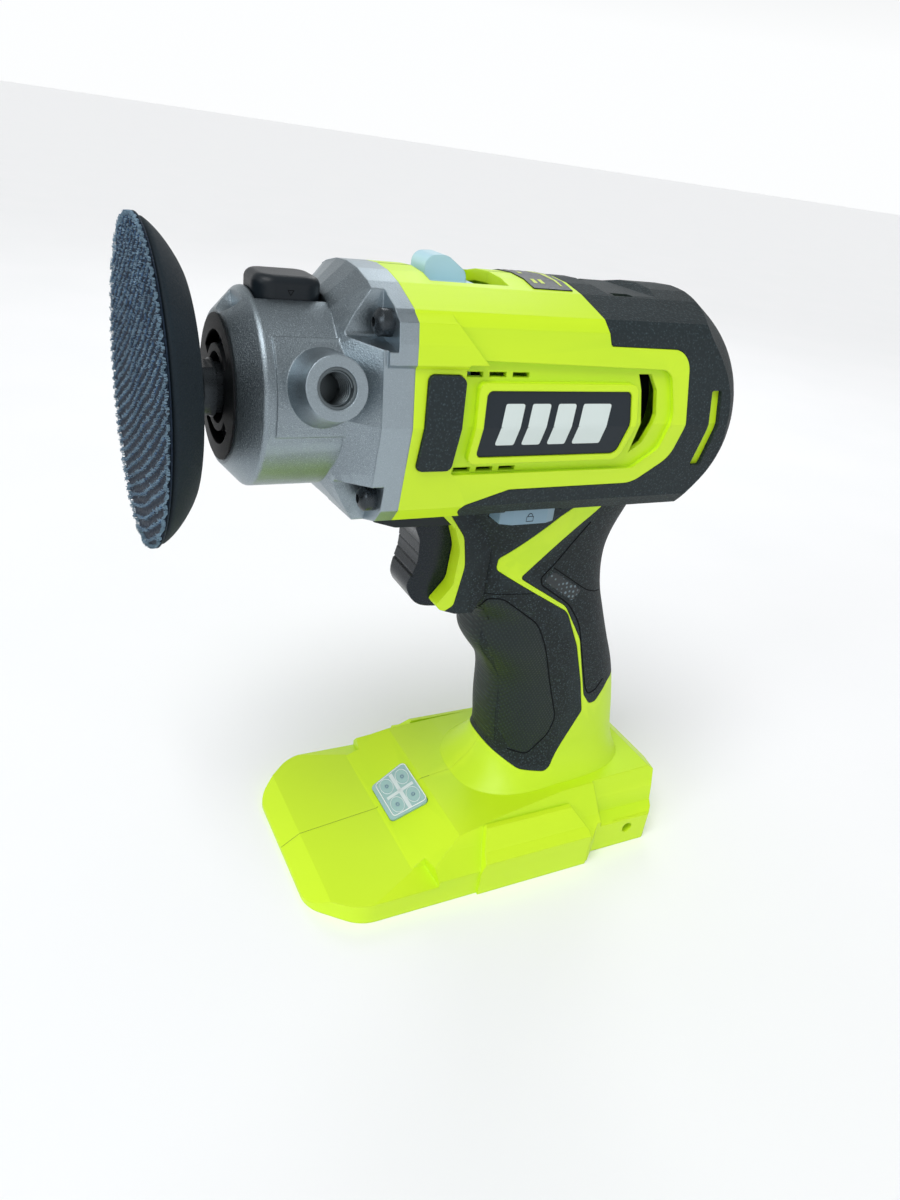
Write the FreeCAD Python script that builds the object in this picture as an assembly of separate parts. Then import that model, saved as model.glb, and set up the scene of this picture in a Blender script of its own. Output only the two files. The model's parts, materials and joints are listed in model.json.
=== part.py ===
import FreeCAD, Part
import math
import os

V = FreeCAD.Vector

# ---------------------------------------------------------------------------
# Pistol-grip cordless polisher, millimetres.
# Working axes: the spindle runs along X and points to -X, +Z is up, the tool's
# left side is -Y, and z = 0 is the underside of the battery foot.  Every shape is
# moved along X at the end, so that the origin is under the middle of the tool.
# ---------------------------------------------------------------------------

# Overall driving sizes
SPINDLE_HEIGHT = 158.2      # foot underside to spindle axis
PAD_RADIUS = 38.0           # 3 inch pad
PAD_FACE_X = -104.2         # working face of the pad
FOOT_REAR_X = 79.5          # rear of the battery foot
BODY_FRONT_X = -46.0        # joint between gearcase and plastic body
BODY_REAR_X = 64.5          # back of the motor body
WALL = 3.0                  # plastic shell
SKIN = 1.4                  # rubber overmould on the shell
SKIN_GAP = 0.15             # witness line around each overmould
RUN = 0.05                  # running fit, on the radius
SLIP = 0.3                  # sliding clearance between separate bodies

H = SPINDLE_HEIGHT
LEFT, RIGHT = -1, 1

# Body cross-section: (half width, height over the spindle axis), from top to bottom
BODY_SECTION = [(0, 31.4), (7.0, 30.9), (14.0, 29.3), (20.8, 26.7), (24.6, 25.2), (26.9, 22.2),
                (30.8, -1.0), (27.6, -23.3), (24.4, -27.2), (17.0, -29.7), (0, -30.9)]
# Rounded back of the body: (x, radius) about an axis a little below the spindle
DOME_DROP = 3.0
DOME_CURVE = [(34.0, 46.0), (45.0, 36.0), (52.6, 31.6), (58.0, 27.8), (61.8, 23.0), (63.8, 17.5)]
DOME_FLAT_RADIUS = 10.0

# Handle sections: height, front x, rear x, half width
HANDLE_SECTIONS = [(136.0, -22.0, 45.0, 21.5), (128.0, -21.5, 44.0, 21.0), (121.0, -17.0, 41.5, 19.4),
                   (113.0, -13.6, 39.6, 17.9), (104.0, -13.2, 40.0, 17.2), (96.0, -12.0, 41.8, 17.0),
                   (89.0, -4.6, 44.2, 16.9), (80.0, -4.2, 48.0, 16.9), (73.0, -0.6, 51.0, 16.8),
                   (66.0, 4.6, 54.0, 16.7), (54.0, 6.8, 57.8, 16.8), (42.0, 8.2, 60.4, 17.2),
                   (32.0, 8.6, 62.6, 18.4), (24.0, 3.0, 66.5, 22.5), (16.0, -5.0, 71.0, 28.0),
                   (9.0, -9.0, 73.0, 31.0)]
HANDLE_SQUARENESS = 2.7     # 2 is an ellipse, more is squarer

# Battery foot
FOOT_FRONT_X = -62.0
FOOT_SIDE_Y = 38.7
FOOT_REAR_Y = 35.2
FOOT_OUTLINE = [(FOOT_FRONT_X, 26.2, 11.0), (-48.0, FOOT_SIDE_Y, 13.0), (38.0, FOOT_SIDE_Y, 2.0),
                (42.0, FOOT_REAR_Y, 2.0), (65.5, FOOT_REAR_Y, 2.0), (68.0, 32.5, 2.0), (76.8, 14.0, 2.0),
                (FOOT_REAR_X, 6.0, 2.0)]
FOOT_SIDE_PROFILE = [(-63.0, 0.8), (-55.7, 5.9), (-28.1, 9.6), (-11.7, 19.0), (5.0, 21.4), (30.0, 24.0),
                     (69.0, 25.2), (76.4, 20.0), (80.5, 13.5)]
FRONT_DECK_SECTION = [(39.5, -2.0), (39.5, 6.6), (38.7, 7.4), (30.5, 9.8), (27.0, 19.5), (20.0, 21.6),
                      (0, 21.6)]
REAR_DECK_SECTION = [(39.5, -2.0), (39.5, 8.6), (38.7, 9.4), (33.0, 15.6), (25.5, 25.5), (0, 27.0)]
REAR_DECK_X = -24.0
SIDE_BLOCK_X = (-7.0, 36.5)
SIDE_BLOCK_SECTION = [(30.0, 0.0), (39.6, 0.0), (39.6, 12.6), (36.4, 14.8), (31.8, 20.6), (30.0, 20.9)]
FOOT_WALL = 2.8
BAY_X = (-48.0, 64.0)       # open underside of the foot
TETHER_X = (43.5, 67.0)
TETHER_HOLE = (56.5, 7.2)
TETHER_HOLE_RADIUS = 2.0
TETHER_LUG_DEPTH = 7.0
# Step over the tether block, as (y, z), and where it ends at the rear
TETHER_LEDGE = [(45.0, 10.6), (35.4, 11.2), (30.0, 13.2), (28.4, 18.4), (24.6, 26.6), (24.6, 40.0),
                (45.0, 40.0)]
TETHER_LEDGE_END = 72.0

# Gearcase
NOSE_FACE_X = -84.8
NOSE_FACE_RADIUS = 18.4
BARREL_FRONT_X = -79.4
NOSE_SCOOP_RADIUS = 6.4      # shallow pocket in the cone, in front of the lock button
NOSE_SCOOP_Z = 24.3
NOSE_SCOOP_X = -80.6
BARREL_RADIUS = 24.0
BARREL_REAR_X = -61.5
FLANGE_FRONT_X = -54.0
BEARING_X = (-82.4, -74.4)
BEARING_OUTER_RADIUS = 14.0
BEARING_BORE_RADIUS = 6.0
BALL_RADIUS = 2.3
BALL_COUNT = 8
BALL_PITCH_RADIUS = 10.0
COLLAR_X = (-74.0, -66.0)
COLLAR_RADIUS = 13.0
COLLAR_ROOM = 15.0
BUSH_X = (-65.0, -58.0)
BUSH_OUTER_RADIUS = 9.0
LOCK_X = -70.0
LOCK_PIN_RADIUS = 2.0
LOCK_TRAVEL = 4.0
LOCK_BUTTON = (16.6, 14.8)  # along X, across Y
LOCK_BUTTON_TOP = 27.8      # over the spindle axis
LOCK_BUTTON_CORNER = 4.6
LOCK_BUTTON_CROWN = 2.2
LOCK_BUTTON_BASE = 21.8
LOCK_WELL_FLOOR = 17.3
GEARCASE_SCREW = (22.4, 21.6)
SCREW_POCKET = 3.9          # half width of the squared pocket round each head
SCREW_X = -50.8
SCREW_RADIUS = 2.0
SCREW_HEAD_RADIUS = 3.2
AUX_X = -66.0
AUX_ANGLE = 15.5            # degrees above horizontal
AUX_FACE_RADIUS = 33.0      # distance of the boss face from the spindle axis
AUX_BOSS = (9.4, 7.3)       # boss radius at the root and at the face
AUX_INSERT_RADIUS = 4.7
AUX_INSERT_SUNK = 0.3
AUX_THREAD_RADIUS = 4.0     # M8
AUX_DEPTH = 11.0

# Gear train: module, sun, planet and ring teeth
STAGE_1 = dict(module=0.9, sun=18, planet=9, ring=36)
STAGE_2 = dict(module=0.7, sun=28, planet=11, ring=50)
PLANETS = 3
BACKLASH = 0.16
ADDENDUM = 0.75
DEDENDUM = 1.15
PRESSURE_ANGLE = 25.0
CARRIER_PIN_RADIUS = 1.6
OUTPUT_DISC_X = (-57.0, -54.6)
OUTPUT_DISC_RADIUS = 19.0
SHIFT_TRAVEL = 6.0
SLIDING_RING_X = (-54.0, -43.0)
SLIDING_RING_RADIUS = 21.8
RING_TOOTH_LENGTH = 6.0
CLUTCH_TEETH = 28
CLUTCH_RADIUS = (18.5, 19.3)
LUGS = 6
LUG_RADIUS = 22.6
LUG_LENGTH = 2.0
GROOVE_X = (-45.4, -43.8)
GROOVE_RADIUS = 21.0
PLANET_2_X = (-53.6, -43.4)
CARRIER_1_X = (-41.5, -39.0)
PLANET_1_X = (-36.4, -30.2)
FIXED_RING_X = (-36.6, -29.8)
FIXED_RING_RADIUS = 20.4
GEAR_HOUSING_X = (-46.0, -27.6)
GEAR_HOUSING_RADIUS = 24.2
GEAR_HOUSING_BORE = 22.95
FORK_X = (-37.5, -35.9)
FORK_RADIUS = (GEAR_HOUSING_RADIUS + 0.5, GEAR_HOUSING_RADIUS + 2.0)
FORK_ARM_Z = 2.0
FORK_PIN_RADIUS = 0.7
FORK_TONGUE_Y = 4.0
FORK_TOP = 27.6             # over the spindle axis

# Motor
MOTOR_X = (-27.4, 28.0)
MOTOR_RADIUS = 18.5
MOTOR_WALL = 1.3
SHAFT_RADIUS = 1.6
END_BELL_X = (28.0, 34.0)
CORE_X = (-18.0, 8.0)
CORE_RADIUS = 12.0
MAGNET_RADIUS = (12.8, MOTOR_RADIUS - MOTOR_WALL)
COMMUTATOR_X = (14.0, 25.0)
COMMUTATOR_RADIUS = 5.5
FAN_X = (-25.4, -21.4)
FAN_RADIUS = 15.0
FAN_BLADES = 10

# Controls
SELECTOR_SLOT_X = (-36.6, -14.4)
SELECTOR_SLOT_Y = 11.8
SELECTOR_BASE_X = (-36.2, -20.8)
SELECTOR_KNOB_X = (-34.8, -23.2)
SELECTOR_KNOB_Y = 4.2
SELECTOR_TOP = 35.0
TRIGGER_TRAVEL = 6.0
TRIGGER_Y = 8.6
LOCK_OFF_X = (-12.0, 6.0)
LOCK_OFF_Z = (126.6, 131.2)
LOCK_OFF_Y = (-23.6, 19.4)
LOCK_OFF_TRAVEL = 5.0
SWITCH_X = (-4.0, 20.0)
SWITCH_Z = (95.0, 120.0)
SWITCH_Y = 9.5
SOCKET_TOP_Z = 62.0
SOCKET_Y = 12.5
TERMINAL_BLOCK_X = (10.5, 50.0)
TERMINAL_BLOCK_Z = (62.0, 72.0)

# Light on the sloped deck
LED_CENTRE = (-20.0, 14.35)
LED_SLOPE = 29.8
LED_LENGTH = 14.6
LED_HALF_WIDTH = (9.4, 11.2)
LED_THICKNESS = 2.4
LED_PROUD = 0.5

# Side trim, as (x, z) outlines with an optional corner radius
LABEL_PLATE = [(-27.4, 149.3, 1.5), (16.4, 149.3, 2.5), (18.4, 158.0, 6), (17.5, 166.0, 1.5),
               (-26.4, 166.0, 1.5)]
LABEL_FRAME = [(-29.6, 147.4, 2), (17.6, 147.4, 3), (20.6, 158.0, 8), (19.6, 168.0, 2.5), (-28.6, 168.0, 2)]
CHANNEL = [(-33.2, 144.3, 1), (24.5, 144.3, 4), (31.5, 150.0, 4), (33.4, 160.0, 8), (31.0, 171.6, 4),
           (-32.2, 173.0, 1)]
BUMPER = [(-43.4, 146.0, 1.6), (-33.9, 145.9, 1.6), (-32.6, 168.4, 1.6), (-34.0, 169.5, 1.2),
          (-42.4, 169.6, 1.6)]
REAR_VENT = [(20.8, 170.2), (25.0, 170.2), (27.6, 166.0), (28.4, 159.5), (26.0, 151.5), (22.4, 148.6),
             (23.4, 157.5),
             (22.2, 166.0)]
OVERMOULD_SLOT = [(46.4, 166.4, 0.6), (50.0, 166.4, 0.6), (50.7, 155.6, 12), (49.4, 144.4, 0.6),
                  (45.4, 144.4, 0.6),
                  (46.9, 155.6, 12)]
DOME_REGION = [(2.0, 215.0), (6.0, 189.6), (9.6, 177.2, 1), (36.4, 176.9, 6), (38.4, 157.0, 12),
               (36.6, 147.4, 8), (26.0, 139.6, 9), (-14.6, 139.4, 4), (-29.4, 134.6, 2), (-22.4, 125.8, 2),
               (-17.6, 119.4, 6), (-15.9, 110.0, 10), (-17.9, 97.2, 2), (-30.0, 90.0), (-30.0, 47.5),
               (-2.4, 45.6, 2), (7.2, 34.8, 6), (16.6, 29.2, 6), (27.4, 28.0, 4), (38.6, 49.9, 2),
               (35.4, 62.0, 8), (30.1, 77.4, 10), (22.9, 91.4, 8), (-5.2, 108.0, 2), (-5.2, 111.8, 2),
               (9.8, 127.0, 2), (14.4, 130.5), (50.5, 130.5), (50.5, 110.0), (90.0, 110.0), (90.0, 215.0)]
REAR_GRIP = [(24.4, 130.0), (18.0, 123.6, 8), (2.4, 105.4, 1.2), (21.6, 93.6, 8), (30.6, 80.0, 10),
             (37.8, 56.6, 2),
             (41.2, 52.2, 2), (44.0, 52.4, 2), (49.4, 59.0, 3), (75.0, 64.0), (62.0, 100.0), (50.2, 126.0),
             (50.2, 130.0)]
VENT_X = (-32.0, -12.0)
VENT_COUNT = 3
UPPER_VENT_Z = (168.9, 172.0)
LOWER_VENT_Z = (144.7, 147.4)
VENT_DEPTH = 1.3            # sunken slot along the openings
VENT_OPENING = 1.2          # height of each opening, at the bottom of its slot
VENT_BAR = 1.8              # bar between openings
VENT_INNER_Y = 20.0

# Trigger and its guard, as (x, z) outlines
TRIGGER = [(-30.2, 121.2, 1.5), (-28.0, 116.0, 5), (-27.8, 109.0, 12), (-30.4, 100.6, 5), (-27.6, 95.2, 5),
           (-18.0, 94.2, 3), (-10.6, 95.0, 1), (-10.6, 121.2, 1)]
TRIGGER_PLAN = [(-32.0, 2.6, 1.5), (-30.0, 6.6, 3), (-24.0, TRIGGER_Y, 6), (-8.0, TRIGGER_Y)]
TRIGGER_RIBS = [(-28.3, 115.0), (-28.1, 111.6), (-28.3, 108.2), (-29.0, 104.8)]
TRIGGER_RIB_RADIUS = 0.4
TRIGGER_STEM = ((-10.6, 1.0), (-3.0, 3.0), (104.0, 110.0))
TRIGGER_WINDOW = ((-40.0, -9.0), (91.6, 121.8))
GUARD = [(-26.6, 127.6), (-20.7, 122.0, 4), (-18.2, 115.0, 8), (-18.9, 104.0, 5), (-23.8, 97.8, 0.8),
         (-22.4, 96.2, 2),
         (-17.0, 94.2, 3), (-11.0, 93.8), (-8.0, 100.0), (-8.0, 127.6)]
GUARD_Y = 14.2
HOOD = [(-46.0, 128.0), (-46.0, 125.4, 1), (-39.0, 123.2, 4), (-26.0, 122.8, 1), (-21.5, 122.8),
        (-21.5, 128.0)]
HOOD_Y = 12.6

# Screws that join the two body halves: x, z, seat of the head
BODY_SCREWS = [(-2.0, H + 22.2, 17.0), (41.0, H + 21.0, 20.0), (46.5, H - 22.5, 20.0),
               (-38.0, H - 27.7, 16.0),
               (24.0, 79.0, 12.5), (71.5, 8.5, 16.0)]
BODY_SCREW_RADIUS = 1.4
BODY_SCREW_HEAD = (2.9, 1.9)
BODY_SCREW_END = -9.0
BOSS_RADIUS = 3.0
CRADLE_X = [(-12.0, -10.0), (20.0, 22.0)]
SWITCH_LEDGES = [(93.4, 95.0), (120.0, 121.6)]
TOP_RECESS_X = (13.6, 35.0)
TOP_RECESS_Y = 15.5
TOP_RECESS_FLOOR = 29.6     # over the spindle axis
TOP_RECESS_SLOPE = 2.6      # length of the sloped face at each end
TOP_WINDOW = ((17.7, 24.1), (10.6, 13.6))
TOP_LABEL_X = (-7.4, 4.6)
TOP_LABEL_Y = 12.7
LABEL_THICKNESS = 0.3
LABEL_PROUD = 0.2
FRAME_PROUD = 0.6
BUMPER_PROUD = 0.9
SHOULDER = [(23.4, 25.6), (27.9, 22.9), (28.9, 18.3), (29.5, 13.6), (26.0, 10.0), (20.0, 20.0)]
SHOULDER_X = (BODY_FRONT_X, -25.0)
WIRE_RADIUS = 1.1

# Pad and spindle
HOOK_X = (PAD_FACE_X, PAD_FACE_X + 1.7)
FOAM_BACK_X = -94.0
FOAM_BACK_RADIUS = 30.0
PLATE_X = (-98.0, -95.4)
PLATE_RADIUS = 22.0
HUB_X = (-98.0, -89.4)
HUB_RADIUS = 8.4
THREAD_RADIUS = 4.0
SPINDLE_SHOULDER_X = (-89.4, -86.2)
SPINDLE_SHOULDER_RADIUS = 7.0
SPINDLE_REAR_RADIUS = 5.0
FLAT_HALF_WIDTH = 5.8       # 11.6 mm across the flats behind the pad
NOSE_CAP_X = (NOSE_FACE_X - 0.4, BEARING_X[0])
NOSE_CAP_RADIUS = 17.4
NOSE_CAP_HOLE = 8.6


# ---------------------------------------------------------------------------
# Small geometry helpers
# ---------------------------------------------------------------------------
def block(x, y, z):
    """A box between pairs of limits."""
    return Part.makeBox(x[1] - x[0], y[1] - y[0], z[1] - z[0], V(x[0], y[0], z[0]))


def rod(radius, x, y=0.0, z=H):
    """A cylinder along X."""
    return Part.makeCylinder(radius, x[1] - x[0], V(x[0], y, z), V(1, 0, 0))


def cross_rod(radius, x, y, z):
    """A cylinder along Y between the limits y."""
    return Part.makeCylinder(radius, y[1] - y[0], V(x, y[0], z), V(0, 1, 0))


def tube(outer, inner, x, y=0.0, z=H):
    return rod(outer, x, y, z).cut(rod(inner, (x[0] - 1, x[1] + 1), y, z))


def cone(radius_0, radius_1, x, y=0.0, z=H):
    return Part.makeCone(radius_0, radius_1, x[1] - x[0], V(x[0], y, z), V(1, 0, 0))


def fuse(shapes):
    shapes = list(shapes)
    result = shapes[0] if len(shapes) == 1 else shapes[0].fuse(shapes[1:])
    return result.removeSplitter()


def common(*shapes):
    result = shapes[0]
    for shape in shapes[1:]:
        result = result.common(shape)
    return result


def mirror_y(shape):
    return shape.mirror(V(0, 0, 0), V(0, 1, 0))


def turned(shape, degrees, z=H):
    """A copy turned about the X axis through (0, z)."""
    copy = shape.copy()
    copy.rotate(V(0, 0, z), V(1, 0, 0), degrees)
    return copy


def extrude(wire, direction):
    return Part.Face(wire).extrude(direction)


def rounded_wire(points, place):
    """A closed wire through (u, v) or (u, v, corner radius) points; place maps (u, v) to a vector."""
    corners = []
    count = len(points)
    for i, point in enumerate(points):
        here = V(point[0], point[1], 0)
        radius = point[2] if len(point) > 2 else 0.0
        before = (V(points[i - 1][0], points[i - 1][1], 0) - here)
        after = (V(points[(i + 1) % count][0], points[(i + 1) % count][1], 0) - here)
        if radius == 0.0:
            corners.append((here, None, here))
            continue
        half = before.getAngle(after) / 2.0
        reach = min(radius / math.tan(half), 0.45 * before.Length, 0.45 * after.Length)
        radius = reach * math.tan(half)
        before.normalize()
        after.normalize()
        bisector = before + after
        bisector.normalize()
        middle = here + bisector * (radius / math.sin(half) - radius)
        corners.append((here + before * reach, middle, here + after * reach))
    edges = []
    for i, (start, middle, end) in enumerate(corners):
        if middle is not None:
            edges.append(Part.Arc(place(start.x, start.y), place(middle.x, middle.y),
                                  place(end.x, end.y)).toShape())
        following = corners[(i + 1) % count][0]
        if (following - end).Length > 1e-6:
            edges.append(Part.LineSegment(place(end.x, end.y), place(following.x, following.y)).toShape())
    return Part.Wire(edges)


def side_region(points, side, grow=0.0, depth=60.0):
    """A prism of an (x, z) outline, from the middle plane out to one side."""
    wire = rounded_wire(points, lambda u, v: V(u, 0, v))
    if grow:
        wire = wire.makeOffset2D(grow)
    return extrude(wire, V(0, side * depth, 0))


def cross_section(points, x):
    """A prism of a (y, z) outline between the limits x."""
    wire = rounded_wire(points, lambda u, v: V(x[0], u, v))
    return extrude(wire, V(x[1] - x[0], 0, 0))


def plan(points, z):
    """A prism of an (x, y) outline between the limits z."""
    wire = rounded_wire(points, lambda u, v: V(u, v, z[0]))
    return extrude(wire, V(0, 0, z[1] - z[0]))


def mirrored_outline(half):
    """The full closed outline of a half given as (distance from the middle plane, other) points."""
    other = [(-p[0],) + tuple(p[1:]) for p in reversed(half) if p[0] != 0]
    return list(half) + other


def inset_convex(points, inset):
    """A convex clockwise outline with every side moved inwards."""
    lines = []
    count = len(points)
    for i in range(count):
        a, b = points[i], points[(i + 1) % count]
        length = math.hypot(b[0] - a[0], b[1] - a[1])
        normal = ((b[1] - a[1]) / length, -(b[0] - a[0]) / length)
        lines.append((normal, normal[0] * a[0] + normal[1] * a[1] + inset))
    result = []
    for i in range(count):
        (n0, c0), (n1, c1) = lines[i - 1], lines[i]
        determinant = n0[0] * n1[1] - n0[1] * n1[0]
        result.append(((c0 * n1[1] - c1 * n0[1]) / determinant, (n0[0] * c1 - n1[0] * c0) / determinant))
    return result


# ---------------------------------------------------------------------------
# Outer forms.  Each takes an inset, so that walls and skins share one surface.
# ---------------------------------------------------------------------------
def body_form(inset=0.0):
    outline = mirrored_outline(BODY_SECTION)
    outline = inset_convex(outline, inset)
    outline = [(y, z + H) for y, z in outline]
    prism = cross_section(outline, (BODY_FRONT_X, BODY_REAR_X + 5))
    curve = Part.BSplineCurve()
    points = [V(x - inset, 0, radius - inset) for x, radius in DOME_CURVE]
    back = BODY_REAR_X - inset
    points.append(V(back, 0, DOME_FLAT_RADIUS - inset))
    curve.interpolate(points)
    start = points[0]
    edges = [curve.toShape(),
             Part.LineSegment(points[-1], V(back, 0, 0)).toShape(),
             Part.LineSegment(V(back, 0, 0), V(BODY_FRONT_X - 5, 0, 0)).toShape(),
             Part.LineSegment(V(BODY_FRONT_X - 5, 0, 0), V(BODY_FRONT_X - 5, 0, start.z)).toShape(),
             Part.LineSegment(V(BODY_FRONT_X - 5, 0, start.z), start).toShape()]
    dome = Part.Face(Part.Wire(edges)).revolve(V(0, 0, 0), V(1, 0, 0), 360)
    dome.translate(V(0, 0, H - DOME_DROP))
    return prism.common(dome)


def handle_form(inset=0.0, z_low=None):
    """A smooth loft through rounded sections."""
    wires = []
    for z, front, rear, half_width in HANDLE_SECTIONS:
        if z_low is not None and z < z_low:
            continue
        centre = (front + rear) / 2.0
        long_half = (rear - front) / 2.0 - inset
        short_half = half_width - inset
        points = []
        for k in range(16):
            angle = 2 * math.pi * k / 16
            c, s = math.cos(angle), math.sin(angle)
            u = math.copysign(abs(c) ** (2 / HANDLE_SQUARENESS), c)
            v = math.copysign(abs(s) ** (2 / HANDLE_SQUARENESS), s)
            points.append(V(centre + long_half * u, short_half * v, z))
        curve = Part.BSplineCurve()
        curve.interpolate(points, PeriodicFlag=True)
        wires.append(Part.Wire(curve.toShape()))
    return Part.makeLoft(wires, True, False)


def foot_form(inset=0.0):
    outline = FOOT_OUTLINE + [(x, -y, radius) for x, y, radius in reversed(FOOT_OUTLINE)]
    underside = -1.0 if inset else 0.0
    wire = rounded_wire(outline, lambda u, v: V(u, v, underside))
    if inset:
        wire = wire.makeOffset2D(-inset)
    footprint = extrude(wire, V(0, 0, 32))
    profile = [(x, z - inset) for x, z in FOOT_SIDE_PROFILE]
    profile = [(-70, -2)] + [(-70, profile[0][1])] + profile + [(90, profile[-1][1]), (90, -2)]
    side_cut = extrude(rounded_wire(profile, lambda u, v: V(u, -50, v)), V(0, 100, 0))

    def deck(section, x):
        points = [(max(y - inset, 0), z - inset if z > 0 else -2.0) for y, z in section]
        return cross_section(mirrored_outline(points), x)

    rear_x = REAR_DECK_X + inset
    front = deck(FRONT_DECK_SECTION, (-70, rear_x + 12))
    rear = deck(REAR_DECK_SECTION, (rear_x, 90))
    slope = plan([(rear_x + 6, -60), (rear_x, -26), (rear_x, 26), (rear_x + 6, 60), (90, 60), (90, -60)],
                 (-2, 40))
    foot = footprint.common(side_cut).common(front.fuse(rear.common(slope)))
    ledge_x = (TETHER_X[0] - inset, TETHER_LEDGE_END)
    ledges = cross_section([(y - inset, z - inset) for y, z in TETHER_LEDGE], ledge_x)
    return foot.cut([ledges, mirror_y(ledges)]).removeSplitter()


# ---------------------------------------------------------------------------
# Shared forms
# ---------------------------------------------------------------------------
def trigger_guard():
    both = side_region(GUARD, LEFT, 0, GUARD_Y).fuse(side_region(GUARD, RIGHT, 0, GUARD_Y))
    return both.removeSplitter()


def side_blocks():
    """Raised blocks low on both sides of the foot, with slanted ends."""
    left = cross_section([(-y, z) for y, z in SIDE_BLOCK_SECTION], SIDE_BLOCK_X)
    height = SIDE_BLOCK_SECTION[-1][1] + 1
    ends = [(SIDE_BLOCK_X[0], -1), (SIDE_BLOCK_X[0], 9), (SIDE_BLOCK_X[0] + 5, height),
            (SIDE_BLOCK_X[1] - 6, height),
            (SIDE_BLOCK_X[1], 14), (SIDE_BLOCK_X[1], -1)]
    left = left.common(side_region(ends, LEFT))
    return left.fuse(mirror_y(left))


def shoulders():
    """Raised facets on the upper corners behind the gearcase, fading into the side."""
    right = cross_section([(y, z + H) for y, z in SHOULDER], SHOULDER_X)
    fade = [(SHOULDER_X[0], H), (SHOULDER_X[0], H + 40), (-40.0, H + 40), (-36.0, H + 23.4),
            (SHOULDER_X[1], H + 12.0),
            (SHOULDER_X[1], H)]
    right = right.common(side_region(fade, RIGHT))
    return right.fuse(mirror_y(right))


def top_recess(sink=0.0):
    """The shallow tray on the rear top, with sloped ends; sink moves all its faces outwards."""
    floor = H + TOP_RECESS_FLOOR - sink
    top = H + 40.0
    front, rear = TOP_RECESS_X[0] - sink, TOP_RECESS_X[1] + sink
    run = TOP_RECESS_SLOPE * (top - floor) / (BODY_SECTION[0][1] - TOP_RECESS_FLOOR)
    side_view = [(front + TOP_RECESS_SLOPE - run, top), (front + TOP_RECESS_SLOPE, floor),
                 (rear - TOP_RECESS_SLOPE, floor), (rear - TOP_RECESS_SLOPE + run, top)]
    half_width = TOP_RECESS_Y + sink
    tray = side_region(side_view, LEFT, 0, half_width).fuse(side_region(side_view, RIGHT, 0, half_width))
    return tray.removeSplitter()


BODY = body_form()
OUTER = BODY.fuse([handle_form(), foot_form(), trigger_guard(), side_blocks(), shoulders()]).removeSplitter()
OUTER = OUTER.cut(top_recess())
BODY_UNDER_SKIN = body_form(SKIN).cut(top_recess(SKIN))
UNDER_SKIN = BODY_UNDER_SKIN.fuse([handle_form(SKIN), foot_form(SKIN)])
BODY_ROOM = body_form(WALL).cut(top_recess(WALL))
HANDLE_ROOM = handle_form(WALL)
FOOT_ROOM = foot_form(FOOT_WALL).common(block(BAY_X, (-60, 60), (-2, 40)))


def skin(points, side, grow=0.0, inner=None, outer=None):
    """The outer layer of the housing inside a side outline."""
    zone = side_region(points, side, grow)
    return zone.common(outer or OUTER).cut(inner or UNDER_SKIN)


# ---------------------------------------------------------------------------
# Gears.  Straight flanks, cut to the involute thickness at root and tip.
# ---------------------------------------------------------------------------
def involute(angle):
    return math.tan(angle) - angle


def half_tooth_angle(module, teeth, radius, backlash):
    """Half the angle that a tooth takes up at a radius."""
    pitch_radius = module * teeth / 2.0
    base_radius = pitch_radius * math.cos(math.radians(PRESSURE_ANGLE))
    at_radius = math.acos(min(1.0, base_radius / radius))
    tooth = math.pi / (2 * teeth) - backlash / (2 * pitch_radius)
    return tooth + involute(math.radians(PRESSURE_ANGLE)) - involute(at_radius)


def gear_outline(module, teeth, backlash, internal=False):
    """(y, z) points about the origin.  An internal outline is the hole of a ring gear."""
    pitch_radius = module * teeth / 2.0
    if internal:
        inner, outer = pitch_radius - ADDENDUM * module, pitch_radius + DEDENDUM * module
        slack = -backlash
    else:
        inner, outer = pitch_radius - DEDENDUM * module, pitch_radius + ADDENDUM * module
        slack = backlash
    points = []
    for k in range(teeth):
        middle = 2 * math.pi * k / teeth
        wide = half_tooth_angle(module, teeth, max(inner, pitch_radius * 0.93), slack)
        narrow = half_tooth_angle(module, teeth, outer, slack)
        wide = min(wide, 0.47 * 2 * math.pi / teeth)
        for radius, angle in ((inner, -wide), (outer, -narrow), (outer, narrow), (inner, wide)):
            points.append((radius * math.cos(middle + angle), radius * math.sin(middle + angle)))
    return points


def toothed(points, x, y=0.0, z=H):
    return cross_section([(u + y, v + z) for u, v in points], x)


def spline_outline(count, root, tip, share):
    """Square teeth from root to tip radius; share is the tooth's part of the pitch."""
    points = []
    for k in range(count):
        middle = 2 * math.pi * k / count
        half = share * math.pi / count
        for radius, angle in ((root, -half), (tip, -half), (tip, half), (root, half)):
            points.append((radius * math.cos(middle + angle), radius * math.sin(middle + angle)))
    return points


def stage_centres(stage):
    """Planet centres (y, z offset) and the turn that lets each planet mesh with sun and ring."""
    distance = stage["module"] * (stage["sun"] + stage["planet"]) / 2.0
    places = []
    for k in range(PLANETS):
        angle = 2 * math.pi * k / PLANETS
        # The sun has a tooth at angle 0; the planet needs a gap where the two meet.
        sun_phase = angle * stage["sun"] / (2 * math.pi)
        turn = angle + math.pi + (0.5 + sun_phase) * 2 * math.pi / stage["planet"]
        places.append((distance * math.cos(angle), distance * math.sin(angle), turn))
    return places


def sun_gear(stage, x):
    return toothed(gear_outline(stage["module"], stage["sun"], BACKLASH), x)


def planet_gear(stage, x, index):
    y, z, turn = stage_centres(stage)[index]
    outline = gear_outline(stage["module"], stage["planet"], BACKLASH)
    rotated = [(u * math.cos(turn) - v * math.sin(turn), u * math.sin(turn) + v * math.cos(turn)) for u,
               v in outline]
    return toothed(rotated, x, y, H + z).cut(rod(CARRIER_PIN_RADIUS + RUN, (x[0] - 1, x[1] + 1), y, H + z))


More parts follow.
